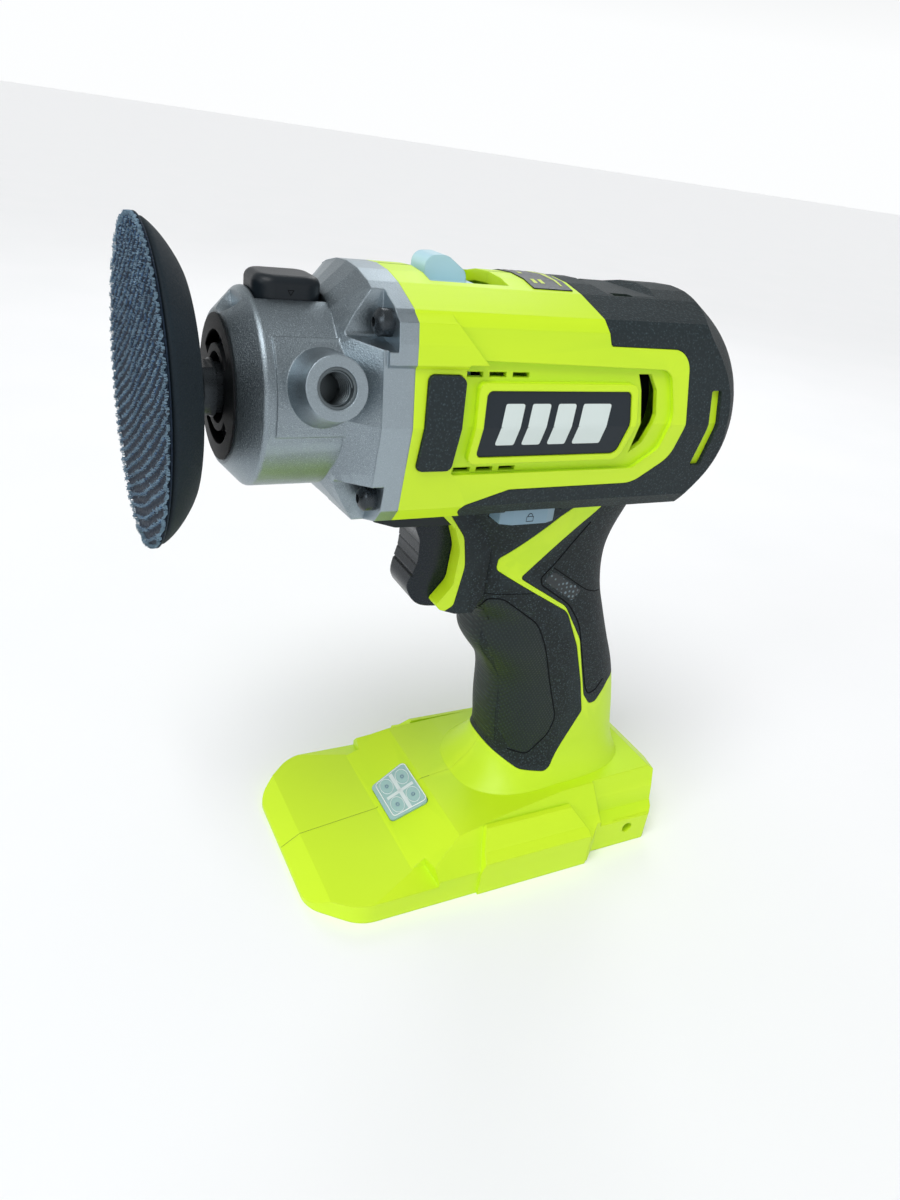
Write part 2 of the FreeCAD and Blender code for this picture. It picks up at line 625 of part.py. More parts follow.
def ring_teeth(stage, x):
    """The toothed hole of a ring gear, turned so that each planet meets a gap."""
    outline = gear_outline(stage["module"], stage["ring"], BACKLASH, internal=True)
    planet_turn = stage_centres(stage)[0][2]
    # A planet tooth or gap faces outwards at angle 0; match the ring's space to it.
    phase = (-planet_turn * stage["planet"] / (2 * math.pi)) % 1.0
    turn = phase * 2 * math.pi / stage["ring"]
    rotated = [(u * math.cos(turn) - v * math.sin(turn), u * math.sin(turn) + v * math.cos(turn)) for u,
               v in outline]
    return toothed(rotated, x)


def carrier_pins(stage, x):
    return [rod(CARRIER_PIN_RADIUS, x, y, H + z) for y, z, turn in stage_centres(stage)]


# ---------------------------------------------------------------------------
# Pad and spindle
# ---------------------------------------------------------------------------


def hook_face():
    return rod(PAD_RADIUS, HOOK_X)


def pad_foam():
    rim = 1.2
    profile = [(HOOK_X[1], 0), (HOOK_X[1], PAD_RADIUS - rim / 2), (HOOK_X[1] + rim, PAD_RADIUS - rim / 2),
               (FOAM_BACK_X - rim, FOAM_BACK_RADIUS + rim), (FOAM_BACK_X, FOAM_BACK_RADIUS - rim),
               (FOAM_BACK_X, 0)]
    wire = rounded_wire([p + (rim,) if p[1] else p for p in profile], lambda u, v: V(u, 0, v + H))
    foam = Part.Face(wire).revolve(V(0, 0, H), V(1, 0, 0), 360)
    foam = foam.cut(rod(PLATE_RADIUS, PLATE_X))
    return foam.cut(rod(HUB_RADIUS, (PLATE_X[0], FOAM_BACK_X + 1)))


def pad_hub():
    hub = rod(PLATE_RADIUS, PLATE_X).fuse(cone(HUB_RADIUS, HUB_RADIUS - 1.4, (PLATE_X[1], HUB_X[1])))
    return fuse([hub]).cut(rod(THREAD_RADIUS, (HUB_X[0] - 1, HUB_X[1] + 1)))


def output_spindle():
    shaft = [rod(THREAD_RADIUS, (HUB_X[0] + 0.6, SPINDLE_SHOULDER_X[0])),
             rod(SPINDLE_SHOULDER_RADIUS, SPINDLE_SHOULDER_X),
             rod(BEARING_BORE_RADIUS, (SPINDLE_SHOULDER_X[1], BUSH_X[1])),
             rod(SPINDLE_REAR_RADIUS, (BUSH_X[1], OUTPUT_DISC_X[1]))]
    flat_x = (SPINDLE_SHOULDER_X[0] - 0.1, SPINDLE_SHOULDER_X[1] - 0.6)
    flats = [block(flat_x, (-10, 10), (H + FLAT_HALF_WIDTH, H + 10)),
             block(flat_x, (-10, 10), (H - 10, H - FLAT_HALF_WIDTH))]
    return fuse(shaft).cut(fuse(flats))


def lock_collar():
    """Ring on the spindle with four radial holes for the lock pin."""
    collar = tube(COLLAR_RADIUS, BEARING_BORE_RADIUS, COLLAR_X)
    hole = Part.makeCylinder(LOCK_PIN_RADIUS + 0.35, COLLAR_RADIUS, V(LOCK_X, 0, H + 7.5), V(0, 0, 1))
    return collar.cut(fuse([turned(hole, 90 * k) for k in range(4)]))


def output_carrier():
    disc = tube(OUTPUT_DISC_RADIUS, SPINDLE_REAR_RADIUS, OUTPUT_DISC_X)
    return fuse([disc] + carrier_pins(STAGE_2, (OUTPUT_DISC_X[0] + 0.5, PLANET_2_X[1])))


def torus_groove():
    middle = (BEARING_X[0] + BEARING_X[1]) / 2.0
    return Part.makeTorus(BALL_PITCH_RADIUS, BALL_RADIUS + RUN, V(middle, 0, H), V(1, 0, 0))


def bearing_outer():
    return tube(BEARING_OUTER_RADIUS, BALL_PITCH_RADIUS + 1.3, BEARING_X).cut(torus_groove())


def bearing_inner():
    return tube(BALL_PITCH_RADIUS - 1.3, BEARING_BORE_RADIUS, BEARING_X).cut(torus_groove())


def bearing_balls():
    middle = (BEARING_X[0] + BEARING_X[1]) / 2.0
    balls = []
    for k in range(BALL_COUNT):
        angle = 2 * math.pi * (k + 0.5) / BALL_COUNT
        centre = V(middle, BALL_PITCH_RADIUS * math.cos(angle), H + BALL_PITCH_RADIUS * math.sin(angle))
        balls.append(Part.makeSphere(BALL_RADIUS, centre))
    return Part.makeCompound(balls)


def rear_bush():
    return tube(BUSH_OUTER_RADIUS, BEARING_BORE_RADIUS + RUN, BUSH_X)


# ---------------------------------------------------------------------------
# Gearcase
# ---------------------------------------------------------------------------


def section_wire(outline, x):
    points = [V(x, y, z + H) for y, z in outline]
    return Part.makePolygon(points + [points[0]])


def gearcase_flare():
    outline = mirrored_outline(BODY_SECTION)
    ring = []
    for y, z in outline:
        length = math.hypot(y, z)
        ring.append((y * BARREL_RADIUS / length, z * BARREL_RADIUS / length))
    return Part.makeLoft([section_wire(ring, BARREL_REAR_X), section_wire(outline, FLANGE_FRONT_X + 0.2)],
                         True, True)


def aux_direction(side):
    angle = math.radians(AUX_ANGLE)
    return V(0, side * math.cos(angle), math.sin(angle))


def radial_cylinder(radius_0, radius_1, near, far, side):
    direction = aux_direction(side)
    base = V(AUX_X, 0, H) + direction * near
    if radius_0 == radius_1:
        return Part.makeCylinder(radius_0, far - near, base, direction)
    return Part.makeCone(radius_0, radius_1, far - near, base, direction)


def screw_pocket(y_side, z_side):
    """A squared notch, open outwards, from the screw's seat to the front."""
    inner = (GEARCASE_SCREW[0] - SCREW_POCKET, GEARCASE_SCREW[1] - SCREW_POCKET)
    outer = (GEARCASE_SCREW[0] + 20.0, GEARCASE_SCREW[1] + 20.0)
    corner = SCREW_POCKET / 3.0
    outline = [(inner[0], inner[1], corner), (outer[0], inner[1] - 3.0), (outer[0], outer[1]),
               (inner[0] - 3.0, outer[1])]
    return cross_section([(y_side * p[0], H + z_side * p[1]) + tuple(p[2:]) for p in outline],
                         (-66.0, SCREW_X))


def gearcase():
    profile = [(NOSE_FACE_X, 0), (NOSE_FACE_X, NOSE_FACE_RADIUS, 0.8), (BARREL_FRONT_X, BARREL_RADIUS, 1.5),
               (BARREL_REAR_X + 1, BARREL_RADIUS), (BARREL_REAR_X + 1, 0)]
    wire = rounded_wire(profile, lambda u, v: V(u, 0, v + H))
    barrel = Part.Face(wire).revolve(V(0, 0, H), V(1, 0, 0), 360)
    flange = cross_section([(y, z + H) for y, z in mirrored_outline(BODY_SECTION)],
                           (FLANGE_FRONT_X, BODY_FRONT_X))
    shoulder_x = (FLANGE_FRONT_X + 1.0, BODY_FRONT_X)
    shoulder = cross_section([(y, z + H) for y, z in SHOULDER], shoulder_x)
    pieces = [barrel, gearcase_flare(), flange, shoulder, mirror_y(shoulder)]
    # Raised pads on both flanks, around the side-handle bosses
    pad = rod(BARREL_RADIUS + 0.45, (BARREL_FRONT_X + 2.4, BARREL_REAR_X + 1.5))
    for side in (LEFT, RIGHT):
        low, high = math.radians(-12), math.radians(43)
        sector = [(0, H), (side * 60 * math.cos(low), H + 60 * math.sin(low)),
                  (side * 60 * math.cos(high), H + 60 * math.sin(high))]
        pieces.append(pad.common(cross_section(sector, (BARREL_FRONT_X, BARREL_REAR_X + 3))))
        pieces.append(radial_cylinder(AUX_BOSS[0], AUX_BOSS[1], 21.0, AUX_FACE_RADIUS, side))
    solid = pieces[0].fuse(pieces[1:]).removeSplitter()
    rooms = [rod(BEARING_OUTER_RADIUS, (BEARING_X[0], BEARING_X[1] + 0.01)),
             rod(NOSE_CAP_RADIUS, (NOSE_FACE_X - 1, BEARING_X[0])),
             rod(COLLAR_ROOM, (BEARING_X[1], BUSH_X[0])),
             rod(BUSH_OUTER_RADIUS, BUSH_X),
             rod(OUTPUT_DISC_RADIUS + 1.5, (BUSH_X[1], SLIDING_RING_X[0] - 0.5)),
             rod(SLIDING_RING_RADIUS + SLIP, (SLIDING_RING_X[0] - 0.5, -50.0)),
             rod(GEAR_HOUSING_BORE, (-50.0, BODY_FRONT_X + 1))]
    lug = lug_set(SLIP)
    rooms.append(lug)
    x_middle = LOCK_X + 0.2
    well_x = (x_middle - LOCK_BUTTON[0] / 2 - SLIP, x_middle + LOCK_BUTTON[0] / 2 + SLIP)
    rooms.append(block(well_x, (-LOCK_BUTTON[1] / 2 - SLIP, LOCK_BUTTON[1] / 2 + SLIP),
                       (H + LOCK_WELL_FLOOR, H + 40)))
    rooms.append(Part.makeCylinder(LOCK_PIN_RADIUS + RUN, 12, V(LOCK_X, 0, H + 10)))
    rooms.append(rod(NOSE_SCOOP_RADIUS, (NOSE_FACE_X - 1, NOSE_SCOOP_X), 0.0, H + NOSE_SCOOP_Z))
    for y_side in (LEFT, RIGHT):
        for z_side in (-1, 1):
            y, z = y_side * GEARCASE_SCREW[0], H + z_side * GEARCASE_SCREW[1]
            rooms.append(screw_pocket(y_side, z_side))
            rooms.append(rod(SCREW_RADIUS, (SCREW_X - 1, BODY_FRONT_X + 1), y, z))
        rooms.append(radial_cylinder(AUX_INSERT_RADIUS, AUX_INSERT_RADIUS, AUX_FACE_RADIUS - AUX_DEPTH,
                                     AUX_FACE_RADIUS + 2, y_side))
    return solid.cut(fuse(rooms))


def lug_set(clearance):
    """Outer lugs of the sliding ring, or with a clearance the slots they slide in."""
    lugs = []
    length = SLIDING_RING_X[0] + LUG_LENGTH + (2.0 if clearance else 0.0)
    for k in range(LUGS):
        lug = block((SLIDING_RING_X[0] - clearance, length), (-2.0 - clearance, 2.0 + clearance),
                    (H + SLIDING_RING_RADIUS - 1.0, H + LUG_RADIUS + clearance))
        lugs.append(turned(lug, 360 * (k + 0.5) / LUGS))
    return fuse(lugs)


def nose_cap():
    """Dark front cover with two kidney openings that show the bearing."""
    cap = tube(NOSE_CAP_RADIUS - 0.02, NOSE_CAP_HOLE, NOSE_CAP_X)
    window = tube(13.6, 10.4, (NOSE_CAP_X[0] - 1, NOSE_CAP_X[1] + 1))
    for sign in (-1, 1):
        sector = [(0, H), (60 * math.cos(math.radians(35)), H + sign * 60 * math.sin(math.radians(35))),
                  (-60 * math.cos(math.radians(35)), H + sign * 60 * math.sin(math.radians(35)))]
        cap = cap.cut(window.common(cross_section(sector, (NOSE_CAP_X[0] - 1, NOSE_CAP_X[1] + 1))))
    return cap


def handle_insert(side):
    sleeve = radial_cylinder(AUX_INSERT_RADIUS, AUX_INSERT_RADIUS, AUX_FACE_RADIUS - AUX_DEPTH,
                             AUX_FACE_RADIUS - AUX_INSERT_SUNK, side)
    return sleeve.cut(radial_cylinder(AUX_THREAD_RADIUS, AUX_THREAD_RADIUS, AUX_FACE_RADIUS - AUX_DEPTH + 1.0,
                                      AUX_FACE_RADIUS + 1, side))


def spindle_lock_button():
    middle = LOCK_X + 0.2
    x = (middle - LOCK_BUTTON[0] / 2, middle + LOCK_BUTTON[0] / 2)
    y = (-LOCK_BUTTON[1] / 2, LOCK_BUTTON[1] / 2)
    body = block(x, y, (H + LOCK_BUTTON_BASE, H + LOCK_BUTTON_TOP))
    upright = [e for e in body.Edges if abs(e.Vertexes[0].Z - e.Vertexes[-1].Z) > 1]
    body = body.makeFillet(LOCK_BUTTON_CORNER, upright)
    top = [e for e in body.Edges if min(v.Z for v in e.Vertexes) > H + LOCK_BUTTON_TOP - 0.01]
    body = body.makeFillet(LOCK_BUTTON_CROWN, top)
    return body.cut(Part.makeCylinder(4.2, 5.4, V(LOCK_X, 0, H + LOCK_BUTTON_BASE)))


def lock_plunger():
    return Part.makeCylinder(LOCK_PIN_RADIUS, 12.9, V(LOCK_X, 0, H + COLLAR_RADIUS + 1.3))


def lock_spring():
    """Coil spring round the plunger, as stacked rings joined by a short post."""
    coils = []
    bottom, top = H + LOCK_WELL_FLOOR, H + LOCK_BUTTON_BASE + 5.4
    count = 6
    wire = 0.35
    for k in range(count):
        z = bottom + wire + (top - bottom - 2 * wire) * k / (count - 1)
        coils.append(Part.makeTorus(3.3, wire, V(LOCK_X, 0, z), V(0, 0, 1)))
    coils.append(Part.makeCylinder(wire, top - bottom - 2 * wire, V(LOCK_X + 3.3, 0, bottom + wire)))
    return fuse(coils)


def gearcase_screws():
    screws = []
    for y_side in (LEFT, RIGHT):
        for z_side in (-1, 1):
            y, z = y_side * GEARCASE_SCREW[0], H + z_side * GEARCASE_SCREW[1]
            head = rod(SCREW_HEAD_RADIUS, (SCREW_X - 2.0, SCREW_X), y, z)
            dome = Part.makeSphere(4.0, V(SCREW_X - 0.4, y, z)).common(rod(SCREW_HEAD_RADIUS,
                                                                           (-60.0, SCREW_X), y, z))
            recess = rod(1.1, (-62.0, SCREW_X - 2.2), y, z)
            shank = rod(SCREW_RADIUS, (SCREW_X, -38.0), y, z)
            screws.append(fuse([head, dome, shank]).cut(recess))
    return Part.makeCompound(screws)


# ---------------------------------------------------------------------------
# Gear train behind the gearcase
# ---------------------------------------------------------------------------
def gear_housing():
    shell = rod(GEAR_HOUSING_RADIUS, GEAR_HOUSING_X)
    shell = shell.cut(rod(GEAR_HOUSING_BORE, (GEAR_HOUSING_X[0] - 1, FIXED_RING_X[0] - 0.4)))
    shell = shell.cut(rod(FIXED_RING_RADIUS, (FIXED_RING_X[0] - 0.5, FIXED_RING_X[1])))
    shell = shell.cut(rod(6.4, (FIXED_RING_X[1] - 1, GEAR_HOUSING_X[1] + 1)))
    slot = block((GEAR_HOUSING_X[0] - 1, GROOVE_X[1] + SHIFT_TRAVEL + 0.6), (-40, 40), (H - 1.3, H + 1.3))
    return shell.cut(slot)


def ring_gear_fixed():
    return rod(FIXED_RING_RADIUS, FIXED_RING_X).cut(ring_teeth(STAGE_1,
                                                               (FIXED_RING_X[0] - 1, FIXED_RING_X[1] + 1)))


def ring_gear_sliding():
    x = SLIDING_RING_X
    split = x[0] + RING_TOOTH_LENGTH
    ring = fuse([rod(SLIDING_RING_RADIUS, x), lug_set(0.0)])
    ring = ring.cut(ring_teeth(STAGE_2, (x[0] - 1, split + 0.5)))
    ring = ring.cut(toothed(spline_outline(CLUTCH_TEETH, CLUTCH_RADIUS[0], CLUTCH_RADIUS[1] + 0.2, 0.62),
                            (split, x[1] + 1)))
    return ring.cut(tube(SLIDING_RING_RADIUS + 2, GROOVE_RADIUS, GROOVE_X))


def carrier_1():
    disc = toothed(spline_outline(CLUTCH_TEETH, CLUTCH_RADIUS[0] - 0.3, CLUTCH_RADIUS[1] - 0.1, 0.36),
                   CARRIER_1_X)
    sun = sun_gear(STAGE_2, (PLANET_2_X[0] + 0.2, CARRIER_1_X[0] + 0.5))
    return fuse([disc, sun] + carrier_pins(STAGE_1, (CARRIER_1_X[0] + 0.5, PLANET_1_X[1])))


def shift_fork():
    """Half hoop over the gear housing with two arms whose pins ride in the sliding ring's groove."""
    inner, outer = FORK_RADIUS
    hoop = tube(outer, inner, FORK_X).common(block((-60, 0), (-40, 40), (H - FORK_ARM_Z, H + 40)))
    pieces = [hoop]
    for side in (LEFT, RIGHT):
        y = sorted((side * inner, side * outer))
        pieces.append(block((GROOVE_X[0] - 0.3, FORK_X[1]), y, (H - FORK_ARM_Z, H + FORK_ARM_Z)))
        pin_y = sorted((side * (GROOVE_RADIUS + 0.2), side * (inner + 0.5)))
        pieces.append(cross_rod(FORK_PIN_RADIUS, sum(GROOVE_X) / 2, pin_y, H))
    pieces.append(block(FORK_X, (-FORK_TONGUE_Y, FORK_TONGUE_Y), (H + inner + 0.5, H + FORK_TOP)))
    return fuse(pieces)


# ---------------------------------------------------------------------------
# Motor
# ---------------------------------------------------------------------------
def motor_can():
    can = rod(MOTOR_RADIUS, MOTOR_X).cut(rod(MAGNET_RADIUS[1], (MOTOR_X[0] + MOTOR_WALL, MOTOR_X[1] + 1)))
    can = can.fuse(rod(6.3, (MOTOR_X[0] - 1.6, MOTOR_X[0]))).removeSplitter()
    can = can.cut(rod(SHAFT_RADIUS + 0.4, (MOTOR_X[0] - 3, MOTOR_X[0] + 3)))
    slots = [turned(block((FAN_X[0], FAN_X[1]), (-3.0, 3.0), (H + MAGNET_RADIUS[1] - 1, H + 30)), 60 * k)
             for k in range(6)]
    return can.cut(fuse(slots))


def motor_end_bell():
    bell = rod(MOTOR_RADIUS - 0.6, END_BELL_X).fuse(tube(MAGNET_RADIUS[1], MAGNET_RADIUS[1] - 1.4,
                                                         (26.0, 28.5)))
    bell = bell.cut(rod(SHAFT_RADIUS + RUN, (END_BELL_X[0] - 1, END_BELL_X[1] + 1)))
    windows = [turned(block((END_BELL_X[0] - 5, END_BELL_X[1] + 1), (-3.5, 3.5), (H + 8, H + 13.5)),
                      45 + 90 * k)
               for k in range(4)]
    return bell.cut(fuse(windows)).removeSplitter()


def motor_magnets():
    shell = tube(MAGNET_RADIUS[1], MAGNET_RADIUS[0], (CORE_X[0] - 2, CORE_X[1] + 2))
    gap = block((-60, 60), (-4.5, 4.5), (H - 40, H + 40))
    return shell.cut(gap)


def motor_shaft():
    return rod(SHAFT_RADIUS, (PLANET_1_X[0] - 0.6, END_BELL_X[1] + 2))


def motor_pinion():
    return sun_gear(STAGE_1, PLANET_1_X).cut(rod(SHAFT_RADIUS, (-60, 0)))


def armature_core():
    core = rod(CORE_RADIUS, CORE_X).cut(rod(SHAFT_RADIUS, (-60, 60)))
    slot = fuse([block((-60, 60), (-0.8, 0.8), (H + 8.5, H + 20)), rod(1.9, (-60, 60), 0, H + 8.2)])
    return core.cut(fuse([turned(slot, 360 * k / 5) for k in range(5)]))


def armature_windings():
    ends = [tube(9.4, SHAFT_RADIUS + 1.2, (CORE_X[0] - 2.6, CORE_X[0])),
            tube(9.4, SHAFT_RADIUS + 1.2, (CORE_X[1], CORE_X[1] + 3.4))]
    bars = [turned(rod(1.8, (CORE_X[0] - 1, CORE_X[1] + 1), 0, H + 7.5), 360 * k / 5) for k in range(5)]
    bars = [bar.common(turned(rod(1.85, (-60, 60), 0, H + 8.2), 360 * k / 5)) for k, bar in enumerate(bars)]
    return fuse(ends + bars)


def commutator():
    drum = tube(COMMUTATOR_RADIUS, SHAFT_RADIUS, COMMUTATOR_X)
    slots = [turned(block((COMMUTATOR_X[0] - 1, COMMUTATOR_X[1] + 1), (-0.25, 0.25),
                          (H + COMMUTATOR_RADIUS - 0.8, H + 10)), 36 * k) for k in range(10)]
    return drum.cut(fuse(slots))


def motor_fan():
    blades = [turned(block(FAN_X, (-0.5, 0.5), (H + 4.5, H + FAN_RADIUS)), 360 * k / FAN_BLADES)
              for k in range(FAN_BLADES)]
    hub = tube(5.0, SHAFT_RADIUS, FAN_X)
    disc = tube(FAN_RADIUS, SHAFT_RADIUS, (FAN_X[1] - 1.0, FAN_X[1]))
    return fuse([hub, disc] + blades)


def brushes():
    pair = []
    for side in (LEFT, RIGHT):
        y = sorted((side * (COMMUTATOR_RADIUS + 0.1), side * 13.0))
        pair.append(block((17.0, 23.0), y, (H - 2.2, H + 2.2)))
    return Part.makeCompound(pair)


# ---------------------------------------------------------------------------
# Housing halves and rubber
# ---------------------------------------------------------------------------
def led_block(grow, low, high):
    """A slab lying on the sloped deck, narrower towards the front."""
    half_length = LED_LENGTH / 2 + grow
    front, rear = LED_HALF_WIDTH[0] + grow, LED_HALF_WIDTH[1] + grow
    outline = [(-half_length, -front, 1.6), (-half_length, front, 1.6), (half_length, rear, 1.6),
               (half_length, -rear, 1.6)]
    slab = extrude(rounded_wire(outline, lambda u, v: V(u, v, low)), V(0, 0, high - low))
    slab.rotate(V(0, 0, 0), V(0, 1, 0), -LED_SLOPE)
    slab.translate(V(LED_CENTRE[0], 0, LED_CENTRE[1]))
    return slab


def common_cuts():
    """Openings that cross the middle plane or look the same on both sides."""
    window_x, window_z = TRIGGER_WINDOW
    cuts = [block(window_x, (-TRIGGER_Y - SLIP, TRIGGER_Y + SLIP), window_z),
            block((-24.0, SWITCH_X[0]), (-TRIGGER_Y - SLIP, TRIGGER_Y + SLIP), window_z),
            block(SELECTOR_SLOT_X, (-SELECTOR_SLOT_Y, SELECTOR_SLOT_Y), (H + 20, H + 40)),
            block((LOCK_OFF_X[0] - SLIP, LOCK_OFF_X[1] + SLIP), (-60, 60),
                  (LOCK_OFF_Z[0] - SLIP, LOCK_OFF_Z[1] + SLIP)),
            led_block(0.0, -LED_THICKNESS, 5.0),
            led_block(-2.0, -12.0, 0.0)]
    return cuts


def half_housing(side):
    shell = OUTER.cut(BODY_ROOM.fuse([HANDLE_ROOM, FOOT_ROOM]))
    # Inner supports
    adds = []
    for x in CRADLE_X:
        slab = body_form(WALL - 0.5).common(block(x, (-60, 60), (H - 60, H + 60)))
        adds.append(slab.cut(rod(MOTOR_RADIUS + RUN, (-60, 60))))
    for x, z, seat in BODY_SCREWS[:5]:
        adds.append(cross_rod(BOSS_RADIUS, x, (-60, 60), z).common(UNDER_SKIN))
    for y_side in (LEFT, RIGHT):
        for z_side in (-1, 1):
            boss = rod(4.2, (BODY_FRONT_X, -33.0), y_side * GEARCASE_SCREW[0], H + z_side * GEARCASE_SCREW[1])
            adds.append(boss.common(BODY_UNDER_SKIN))
        for z in SWITCH_LEDGES:
            adds.append(block((4.0, 12.0), sorted((y_side * 5.0, y_side * 16.0)),
                              z).common(handle_form(SKIN)))
    for y_side in (LEFT, RIGHT):
        lug_y = sorted((y_side * (FOOT_REAR_Y - TETHER_LUG_DEPTH), y_side * (FOOT_REAR_Y - 0.5)))
        adds.append(block((TETHER_X[0] + 6, TETHER_X[1] - 2), lug_y, (0.0, TETHER_HOLE[1] + 4.5)))
    shell = shell.fuse(adds)
    cuts = common_cuts()
    for x, z, seat in BODY_SCREWS:
        cuts.append(cross_rod(BODY_SCREW_RADIUS, x, (BODY_SCREW_END - 1, 60), z))
        cuts.append(cross_rod(BODY_SCREW_HEAD[0] + SLIP, x, (seat, 60), z))
    for y_side in (LEFT, RIGHT):
        for z_side in (-1, 1):
            cuts.append(rod(SCREW_RADIUS, (-60, -37.0), y_side * GEARCASE_SCREW[0],
                            H + z_side * GEARCASE_SCREW[1]))
    # Tether hole through the rear corners
    cuts.append(cross_rod(TETHER_HOLE_RADIUS, TETHER_HOLE[0], (-60, 60), TETHER_HOLE[1]))
    # Vents in the side: sunken slots with openings along their lower edge
    pitch = (VENT_X[1] - VENT_X[0]) / VENT_COUNT
    vent_floor = body_form(VENT_DEPTH)
    for z_low, z_high in (UPPER_VENT_Z, LOWER_VENT_Z):
        for y_side in (LEFT, RIGHT):
            slot = block(VENT_X, sorted((y_side * VENT_INNER_Y, y_side * 60.0)), (z_low, z_high))
            cuts.append(slot.cut(vent_floor))
            for k in range(VENT_COUNT):
                x = (VENT_X[0] + pitch * k, VENT_X[0] + pitch * (k + 1) - VENT_BAR)
                opening_y = sorted((y_side * VENT_INNER_Y, y_side * 60.0))
                cuts.append(block(x, opening_y, (z_low, z_low + VENT_OPENING)))
    for y_side in (LEFT, RIGHT):
        cuts.append(side_region(REAR_VENT, y_side))
    half_space = block((-200, 200), sorted((0, side * 100)), (-50, 300))
    shell = shell.common(half_space)
    # Recesses for the side trim and the rubber
    channel = side_region(CHANNEL, side).common(BODY).cut(BODY_UNDER_SKIN)
    channel = channel.cut(side_region(LABEL_FRAME, side))
    bumper_seat = side_region(BUMPER, side, SKIN_GAP).cut(BODY_UNDER_SKIN)
    plate_seat = side_region(LABEL_PLATE, side, SKIN_GAP).cut(body_form(LABEL_THICKNESS))
    rubber = [side_region(DOME_REGION, side).cut(UNDER_SKIN), side_region(REAR_GRIP, side).cut(UNDER_SKIN)]
    shell = shell.cut([channel, bumper_seat, plate_seat] + rubber + cuts)
    frame = side_region(LABEL_FRAME, side).cut(side_region(LABEL_PLATE, side, SKIN_GAP))
    frame = frame.common(body_form(-FRAME_PROUD)).cut(BODY)
    return keep_largest(shell.fuse(frame).removeSplitter())


def keep_largest(shape):
    return max(shape.Solids, key=lambda solid: solid.Volume)


def drop_crumbs(shape, smallest=5.0):
    solids = [solid for solid in shape.Solids if solid.Volume > smallest]
    return solids[0] if len(solids) == 1 else Part.makeCompound(solids)


def trim_cuts(side):
    """Cuts that pass through the rubber as well as the shell."""
    cuts = common_cuts()
    for x, z, seat in BODY_SCREWS:
        if side == RIGHT:
            cuts.append(cross_rod(BODY_SCREW_HEAD[0] + SLIP, x, (seat, 60), z))
    cuts.append(side_region(OVERMOULD_SLOT, side))
    window_x, window_y = TOP_WINDOW
    cuts.append(block(window_x, sorted((side * window_y[0], side * window_y[1])), (H, H + 40)))
    return cuts


def overmould(side):
    sheet = skin(DOME_REGION, side, -SKIN_GAP)
    return drop_crumbs(sheet.cut(trim_cuts(side)))


def rear_grip(side):
    sheet = skin(REAR_GRIP, side, -SKIN_GAP)
    return drop_crumbs(sheet.cut(trim_cuts(side)))


def bumper(side):
    raised = side_region(BUMPER, side).common(body_form(-BUMPER_PROUD)).cut(BODY_UNDER_SKIN)
    return drop_crumbs(raised)


def label_plates():
    left = side_region(LABEL_PLATE, LEFT).common(body_form(-LABEL_PROUD)).cut(body_form(LABEL_THICKNESS))
    left = drop_crumbs(left)
    return Part.makeCompound([left, mirror_y(left)])


def speed_label():
    zone = block(TOP_LABEL_X, (-TOP_LABEL_Y, TOP_LABEL_Y), (H + 20, H + 40))
    return zone.common(body_form(-LABEL_THICKNESS)).cut(BODY)


def trigger_hood():
    both = side_region(HOOD, LEFT, 0, HOOD_Y).fuse(side_region(HOOD, RIGHT, 0, HOOD_Y)).removeSplitter()
    return both.cut(OUTER)


def body_screws():
    screws = []
    for x, z, seat in BODY_SCREWS:
        head = cross_rod(BODY_SCREW_HEAD[0], x, (seat, seat + BODY_SCREW_HEAD[1]), z)
        shank = cross_rod(BODY_SCREW_RADIUS, x, (BODY_SCREW_END, seat), z)
        recess = cross_rod(1.1, x, (seat + 0.8, seat + 5), z)
        screws.append(fuse([head, shank]).cut(recess))
    return Part.makeCompound(screws)


# ---------------------------------------------------------------------------
# Controls, light and electrics
# ---------------------------------------------------------------------------
def speed_selector():
    carriage = block((-37.7, -19.6), (-12.7, 12.7), (H + 24.7, H + 26.3))
    deck = block(SELECTOR_BASE_X, (-SELECTOR_SLOT_Y + SLIP, SELECTOR_SLOT_Y - SLIP), (H + 26.3, H + 28.8))
    x0, x1 = SELECTOR_KNOB_X
    side_view = [(x0, H + 28), (x0, H + SELECTOR_TOP - 0.4, 3), (x0 + 6, H + SELECTOR_TOP, 4),
                 (x1, H + SELECTOR_TOP - 3.6, 2.5), (x1 + 0.6, H + 28)]
    knob = side_region(side_view, LEFT, 0, SELECTOR_KNOB_Y).fuse(side_region(side_view, RIGHT, 0,
                                                                             SELECTOR_KNOB_Y))
    tongue_room = block((FORK_X[0] - RUN, FORK_X[1] + RUN), (-FORK_TONGUE_Y - RUN, FORK_TONGUE_Y + RUN),
                        (H + 24, H + FORK_TOP))
    hoop_room = rod(FORK_RADIUS[1] + RUN, (FORK_X[0] - RUN, FORK_X[1] + RUN))
    return fuse([carriage, deck, knob.removeSplitter()]).cut(fuse([tongue_room, hoop_room]))


def trigger():
    body = side_region(TRIGGER, LEFT, 0, 12).fuse(side_region(TRIGGER, RIGHT, 0, 12)).removeSplitter()
    half = [(x, y) + tuple(r) for x, y, *r in TRIGGER_PLAN]
    outline = half + [(p[0], -p[1]) + tuple(p[2:]) for p in reversed(half)]
    body = body.common(plan(outline, (80, 140)))
    ribs = [cross_rod(TRIGGER_RIB_RADIUS, x, (-12, 12), z) for x, z in TRIGGER_RIBS]
    return body.cut(fuse(ribs)).fuse(block(*TRIGGER_STEM)).removeSplitter()


def switch_module():
    body = block(SWITCH_X, (-SWITCH_Y, SWITCH_Y), SWITCH_Z)
    x, y, z = TRIGGER_STEM
    bore = block((SWITCH_X[0] - 1, x[1] + TRIGGER_TRAVEL + 1.0), (y[0] - SLIP, y[1] + SLIP),
                 (z[0] - SLIP, z[1] + SLIP))
    return body.cut(bore)


